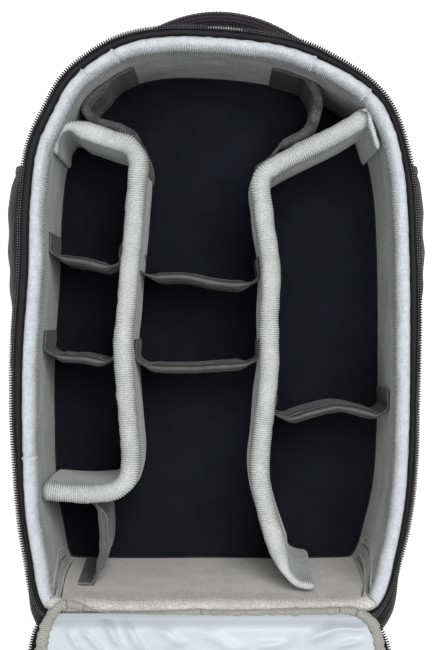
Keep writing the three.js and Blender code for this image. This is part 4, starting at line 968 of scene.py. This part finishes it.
hingeRows = np.array([  # x, y, half width, height above the rim: the binding over the hinge, left to right
    (-0.1562, -0.297, 0.0056, 0.011), (-0.1558, -0.2907, 0.0056, 0.0112),
    (-0.1545, -0.279, 0.0053, 0.0112), (-0.1512, -0.2677, 0.005, 0.0108),
    (-0.1466, -0.259, 0.0047, 0.0102), (-0.1405, -0.2525, 0.0044, 0.0095), (-0.1338, -0.2501, 0.004, 0.009),
    (-0.1263, -0.2512, 0.0041, 0.0082), (-0.1199, -0.2527, 0.0032, 0.0072), (-0.1122, -0.2552, 0.0014, 0.006),
    (-0.1014, -0.2574, 0.0008, 0.0052), (-0.0796, -0.2582, 0.0007, 0.005), (-0.0581, -0.2584, 0.0012, 0.005),
    (-0.0362, -0.2581, 0.002, 0.0052), (-0.0157, -0.2578, 0.0029, 0.0054), (-0.0038, -0.2581, 0.0027, 0.0054),
    (0.0161, -0.2584, 0.0027, 0.0054), (0.0434, -0.2579, 0.0029, 0.0056), (0.0749, -0.2574, 0.0034, 0.0058),
    (0.1009, -0.2567, 0.0033, 0.0062), (0.1181, -0.2562, 0.0037, 0.007), (0.1279, -0.2582, 0.0042, 0.0085),
    (0.1378, -0.2644, 0.0048, 0.0106), (0.1431, -0.2742, 0.0051, 0.0112), (0.1462, -0.2894, 0.0055, 0.0112),
    (0.1464, -0.297, 0.0056, 0.011),
])


hingeJoints = (-0.1335, -0.1185, -0.0135, 0.111, 0.1262)  # x where its lengths are sewn together


def hingeBinding():
    # a soft roll along the hinge: half an ellipse across, gathered along its run
    line = evenly(smoothLine(hingeRows), 620)
    path, half, high = line[:, :2], line[:, 2:3], line[:, 3:]
    run = runOf(path)[:, None]
    ends = np.sqrt(np.clip(np.minimum(run, run[-1] - run) / 0.004, 0.02, 1))
    angle = np.concatenate([np.linspace(0, np.pi, 15), np.linspace(np.pi, turn, 7)[1:-1]])
    gather = 1 + 0.16 * unevenness(np.concatenate([path, 0 * half], 1), 0.007, 97)[:, None]
    joints = sum(hump(path[:, :1], at, 0.0011) for at in hingeJoints)
    across = np.cos(angle) * half * (gather - 0.12 * joints)
    tall = np.minimum(half * 1.1 + 0.0006, 0.0044)
    level = np.sin(angle)
    rise = np.where(level > 0, level * gather * (1 - 0.4 * joints), level * 0.5) * tall
    section = np.stack([across, high + 0.0016 - tall + rise * ends], -1)
    rings = carried(lift(path, rim), lift(leftOf(path), 0.0), np.tile(upright, (len(path), 1)), section)
    sewn = [(rings[np.argmin(np.abs(path[:, 0] - at)), 1:14] + (0, 0, 0.0002), upright) for at in hingeJoints]
    settle(stitches("hinge_joints", sewn, finishes["greyThread"], every=0.001, length=0.0014, width=0.0009),
           "grey_velour")
    return ringPiece("hinge_binding", rings, [finishes["binding"]])


settle(hingeBinding(), "grey_velour", "lid_binding", fill=0.5)

panelRun = panelLine(lidLook["edge"], 2200)
panelOut = leftOf(panelRun)
panelNormals = panelUp(panelRun[:, 1])


def besidePanel(out, height):  # a line beside the panel's edge, on the panel's own path
    line = panelRun + panelOut * out
    return onPanel(line[:, 0], line[:, 1], height)


edgeHeight = lidLook["thickness"] * 0.7
edgeLine = besidePanel(0.0, edgeHeight)
edgeOut = unit(besidePanel(0.001, edgeHeight) - edgeLine)
settle(tapeBand("panel_tape", edgeLine, edgeOut, panelNormals, -0.0006, 0.0036, 0.0004, finishes["tape"]),
       "black_cloth", "lid_zip_tape")
settle(coil("panel_coil", edgeLine + edgeOut * 0.0032 + panelNormals * 0.0008, edgeOut, panelNormals,
            finishes["coil"], *coilSizes), "zip_coil", "lid_zip_coil")
seamLine = panelLine(lidLook["edge"] - lidLook["binding"] + 0.0022, 1500)[30:-30]
seamPath = onPanel(seamLine[:, 0], seamLine[:, 1], panelTop(seamLine[:, 1]) + 0.0038)
settle(stitches("panel_stitches", [(seamPath, panelUp(seamLine[:, 1]))], finishes["greyThread"], every=0.003),
       "grey_velour")
print("front panel made")


# Side pockets

pocketLook = {"bulge": {"left": 0.018, "right": 0.0125}, "halfHeight": 0.058, "ends": (0.61, -0.72),
              "level": 0.48, "cloth": 0.0012}
pocketRows = np.array([  # share from the upper end, share of the bulge, share of the height
    (0, 0.15, 0.6), (0.03, 0.5, 0.78), (0.055, 0.78, 0.87), (0.09, 0.93, 0.95), (0.135, 1, 1), (0.215, 1, 1),
    (0.285, 0.92, 1), (0.36, 0.75, 1), (0.46, 0.55, 1), (0.6, 0.42, 0.97), (0.8, 0.3, 0.9), (1, 0.1, 0.75),
])


def pocketPoint(name, sign, at, angle, lessBulge=0.0, lessHeight=0.0):
    # y runs down the side; x = side(y) + bulge cos(angle), z = middle + height sin(angle)
    rows = smoothLine(pocketRows)
    bulge, high = (np.interp(at, rows[:, 0], rows[:, k]) for k in (1, 2))
    y = halfLength * (pocketLook["ends"][0] + (pocketLook["ends"][1] - pocketLook["ends"][0]) * at)
    middle = body["rest"] + body["depth"] * pocketLook["level"]
    z = middle + (pocketLook["halfHeight"] * high - lessHeight) * np.sin(angle)
    shareUp = (z - body["rest"]) / body["depth"]
    ring = bodySurface(openingLine, openingOut, np.array([pocketLook["level"]]), 0.0029)[0]
    ring = ring[ring[:, 0] * sign > 0]
    ring = ring[np.argsort(ring[:, 1])]
    side = np.interp(y, ring[:, 1], np.abs(ring[:, 0]))
    slack = np.interp(shareUp, bodySections[:, 0], bodySections[:, 1]) - np.interp(
        pocketLook["level"], bodySections[:, 0], bodySections[:, 1])
    side = side + slack * body["sideBulge"]
    spots = np.stack(np.broadcast_arrays(y, z), -1)
    folds = (0.0016 * unevenness(spots * (1, 0.3), 0.03, 100)
             + 0.0008 * unevenness(spots * (0.4, 1), 0.014, 101))
    reach = np.maximum(pocketLook["bulge"][name] * bulge - lessBulge, 0.0006) * np.cos(angle) ** 0.7
    x = side + reach + folds * np.cos(angle) * np.minimum(bulge * 2, 1)
    return np.stack([sign * x, np.broadcast_to(y, x.shape), np.broadcast_to(z, x.shape)], -1)


def sidePocket(name, sign):
    at = np.linspace(0, 1, 190)[:, None]
    angle = np.linspace(-np.pi / 2, np.pi / 2, 60)[None]
    outer = pocketPoint(name, sign, at, angle)
    inner = pocketPoint(name, sign, at, angle[:, ::-1], pocketLook["cloth"], pocketLook["cloth"])
    return ringPiece(f"pocket_{name}", np.concatenate([outer, inner], 1), [finishes["nylon"]])


def pocketHem(name, sign):  # an elastic band, 3.2 by 9.6 mm, over the pocket's upper end
    angle = np.linspace(-np.pi / 2, np.pi / 2, 220)
    path = pocketPoint(name, sign, np.full(220, 0.045), angle) + (sign * 0.0008, 0, 0)
    ahead = unit(np.gradient(path, axis=0))
    along = np.tile((0, 1.0, 0), (220, 1))
    out = unit(np.cross(ahead, along))
    circle = np.linspace(0, turn, 12, endpoint=False)
    gather = 1 + 0.12 * ripple(runOf(path), 0.0042)[:, None]
    section = np.stack([np.cos(circle) * 0.0016 * gather, np.sin(circle) * 0.0048 * gather], -1)
    return ringPiece(f"pocket_hem_{name}", carried(path, out, along, section), [finishes["webbing"]])


for name, sign in (("left", -1), ("right", 1)):
    settle(sidePocket(name, sign), "black_cloth", f"side_pocket_{name}")
    settle(pocketHem(name, sign), "black_cloth")
print("pockets made")


# Grab handle

handleLook = {"reach": 0.032, "drop": 0.036, "span": 0.178, "centre": 0.0015, "thickness": 0.013,
              "width": 0.024, "height": 0.112}


def grabHandle():
    # arch y = top + reach - drop u^2, section of a rounded slab: |a / t|^3 + |h / w|^3 = 1
    top = bodySurface(openingLine, openingOut, np.array([0.5]), 0.0029)[0][:, 1].max()
    u = np.linspace(-1.1, 1.1, 420)
    path = np.stack([handleLook["centre"] + u * handleLook["span"] / 2,
                     top + handleLook["reach"] - handleLook["thickness"] / 2 - handleLook["drop"] * u * u,
                     np.full(420, handleLook["height"])], -1)
    out = lift(leftOf(path[:, :2]), 0.0)
    angle = np.linspace(0, turn, 40, endpoint=False)
    across = np.sign(np.cos(angle)) * np.abs(np.cos(angle)) ** 0.66 * handleLook["thickness"] / 2
    tall = np.sign(np.sin(angle)) * np.abs(np.sin(angle)) ** 0.66 * handleLook["width"] / 2
    seam = 1 - 0.1 * hump(np.abs(np.sin(angle)), 0.72, 0.07)
    grip = 1 + 0.035 * ripple(runOf(path), 0.0034)[:, None]
    section = np.stack([across * seam * grip, tall * grip], -1)
    rings = carried(path, out, np.tile(upright, (420, 1)), section)
    return ringPiece("padded_handle", rings, [finishes["webbing"]])


settle(grabHandle(), "black_cloth", "grab_handle", fill=0.7)


def sewnPatch(name, x, skin, size=(0.046, 0.034), reach=0.0029):
    # a rounded cloth patch on the body's end, with its middle at x and the handle's height
    at = np.argmin(np.abs(openingLine[:, 0] - x) + (openingLine[:, 1] < 0) * 9)
    run = runOf(openingLine)
    pick = np.abs(run - run[at]) < size[0] / 2
    level = (handleLook["height"] - body["rest"]) / body["depth"]
    angle = np.linspace(0, turn, 48, endpoint=False)
    u = np.sign(np.cos(angle)) * np.abs(np.cos(angle)) ** 0.4
    v = np.sign(np.sin(angle)) * np.abs(np.sin(angle)) ** 0.4
    rings = []
    for share, rise in ((0.05, 0.0016), (0.5, 0.0017), (0.9, 0.0016), (1.0, 0.001), (1.0, -0.0004),
                        (0.05, -0.0004)):
        index = np.clip(np.round(at + u * share * size[0] / 2 / (run[1] - run[0])).astype(int), 0, 1599)
        height = level + v * share * size[1] / 2 / body["depth"]
        grid = bodySurface(openingLine[index], openingOut[index], height, reach + rise)
        rings.append(grid[np.arange(48), np.arange(48)])
    return ringPiece(name, np.array(rings), [skin], flatUv=True)


for name, x in (("left", -0.092), ("right", 0.096)):
    settle(sewnPatch(f"handle_patch_{name}", x, finishes["webbing"]), "black_cloth")
print("handle made")


# Harness under the body. Pads are inflated by a cloth simulation

padLook = {"voxel": 0.005, "pressure": 4.0, "frames": 20, "start": 0.0016, "cap": 0.005}


def nodeCopy(name, node):
    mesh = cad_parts[node].data.copy()
    work = bmesh.new()
    work.from_mesh(mesh)
    bmesh.ops.remove_doubles(work, verts=work.verts, dist=1e-5)
    work.to_mesh(mesh)
    work.free()
    mesh.materials.clear()
    piece = bpy.data.objects.new(name, mesh)
    bpy.context.scene.collection.objects.link(piece)
    return piece


def applied(piece):  # the piece's mesh with its modifiers worked in
    done = bpy.data.meshes.new_from_object(piece.evaluated_get(bpy.context.evaluated_depsgraph_get()))
    piece.modifiers.clear()
    piece.data = done


def positions(mesh):
    flat = np.empty(len(mesh.vertices) * 3)
    mesh.vertices.foreach_get("co", flat)
    return flat.reshape(-1, 3)


def inflated(name, node, skin):
    # voxels, shrunk by start along the normals, pressed out as cloth; a point moves no further than the cap
    piece = nodeCopy(name, node)
    remesh = piece.modifiers.new("voxels", "REMESH")
    remesh.voxel_size = padLook["voxel"]
    applied(piece)
    mesh = piece.data
    normals = np.empty(len(mesh.vertices) * 3)
    mesh.vertices.foreach_get("normal", normals)
    before = positions(mesh)
    mesh.vertices.foreach_set("co", (before - normals.reshape(-1, 3) * padLook["start"]).ravel())
    cloth = piece.modifiers.new("cloth", "CLOTH")
    cloth.settings.use_pressure = True
    cloth.settings.uniform_pressure_force = padLook["pressure"]
    cloth.settings.effector_weights.gravity = 0
    for number in range(1, padLook["frames"] + 1):
        bpy.context.scene.frame_set(number)
    after = positions(piece.evaluated_get(bpy.context.evaluated_depsgraph_get()).data)
    piece.modifiers.clear()
    bpy.context.scene.frame_set(1)
    move = after - before
    size = np.linalg.norm(move, axis=1, keepdims=True)
    after = before + move * np.minimum(1, padLook["cap"] / (size + 1e-9))
    after[:, 2] = np.clip(after[:, 2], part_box(node)[0][2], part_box(node)[1][2] + 0.0002)
    mesh.vertices.foreach_set("co", after.ravel())
    mesh.polygons.foreach_set("use_smooth", np.ones(len(mesh.polygons), bool))
    mesh.materials.clear()
    mesh.materials.append(skin)
    smooth = piece.modifiers.new("smooth", "SUBSURF")
    smooth.levels = smooth.render_levels = 1
    return piece


for node, name in (("back_pad", "back_cushion"), ("lumbar_pad", "lumbar_cushion"),
                   ("shoulder_strap_left", "strap_pad_left"), ("shoulder_strap_right", "strap_pad_right")):
    settle(inflated(name, node, finishes["mesh"]), "mesh_cloth", node, fill=0.7)


def softCopy(name, node, skin, width=0.0006):  # the node's form with its edges rounded
    piece = nodeCopy(name, node)
    piece.data.materials.append(skin)
    bevel = piece.modifiers.new("edges", "BEVEL")
    bevel.width, bevel.segments, bevel.limit_method = width, 3, "ANGLE"
    return piece


for node, name in (("harness_yoke", "yoke_cloth"), ("anchor_tab_left", "anchor_cloth_left"),
                   ("anchor_tab_right", "anchor_cloth_right"), ("strap_webbing_left", "webbing_left"),
                   ("strap_webbing_right", "webbing_right")):
    settle(softCopy(name, node, finishes["webbing"]), "black_cloth", node)
for node, name in (("ladder_lock_left", "lock_left"), ("ladder_lock_right", "lock_right")):
    settle(softCopy(name, node, finishes["plastic"], 0.0009), "buckle_plastic", node)
for node, name in (("zip_slider_left", "slider_left"), ("zip_slider_right", "slider_right")):
    settle(softCopy(name, node, finishes["metal"], 0.0005), "slider_metal", node)
print("harness made")


# Studio

studio = {"eye": 1.5, "frameHeight": 0.585, "key": 53.0, "fill": 19.0, "world": 0.36, "paper": 0.4}

floorMesh = bpy.data.meshes.new("studio_floor")
floorCorners = [(-6, -6, -0.0005), (6, -6, -0.0005), (6, 6, -0.0005), (-6, 6, -0.0005)]
floorMesh.from_pydata(floorCorners, [], [(0, 1, 2, 3)])
studioFloor = bpy.data.objects.new("studio_floor", floorMesh)
bpy.context.scene.collection.objects.link(studioFloor)
paper, paperShader, _, _ = startSkin("paper")
paperShader.inputs["Base Color"].default_value = (0.97, 0.97, 0.97, 1)
paperShader.inputs["Roughness"].default_value = 0.9
paperShader.inputs["Emission Color"].default_value = (1, 1, 1, 1)
paperShader.inputs["Emission Strength"].default_value = studio["paper"]
floorMesh.materials.append(paper)

world = bpy.data.worlds.new("studio")
world.use_nodes = True
world.node_tree.nodes["Background"].inputs[0].default_value = (1, 1, 1, 1)
world.node_tree.nodes["Background"].inputs[1].default_value = studio["world"]
bpy.context.scene.world = world
bpy.context.scene.view_settings.view_transform = "Standard"


def softLight(name, place, size, power):
    lamp = bpy.data.lights.new(name, "AREA")
    lamp.shape, lamp.size, lamp.size_y, lamp.energy = "RECTANGLE", size[0], size[1], power
    light = bpy.data.objects.new(name, lamp)
    light.location = place
    light.rotation_euler = (-Vector(place)).to_track_quat("-Z", "Y").to_euler()
    bpy.context.scene.collection.objects.link(light)


softLight("key", (0.4, 0.5, 2.4), (1.3, 1.1), studio["key"])
softLight("fill", (-0.6, -1.0, 2.2), (1.3, 1.3), studio["fill"])

lens = bpy.data.cameras.new("camera")
lens.sensor_width = 36
lens.lens = 36 * studio["eye"] / studio["frameHeight"]
camera = bpy.data.objects.new("camera", lens)
camera.location = (0, 0, rim + studio["eye"])
bpy.context.scene.collection.objects.link(camera)
bpy.context.scene.camera = camera
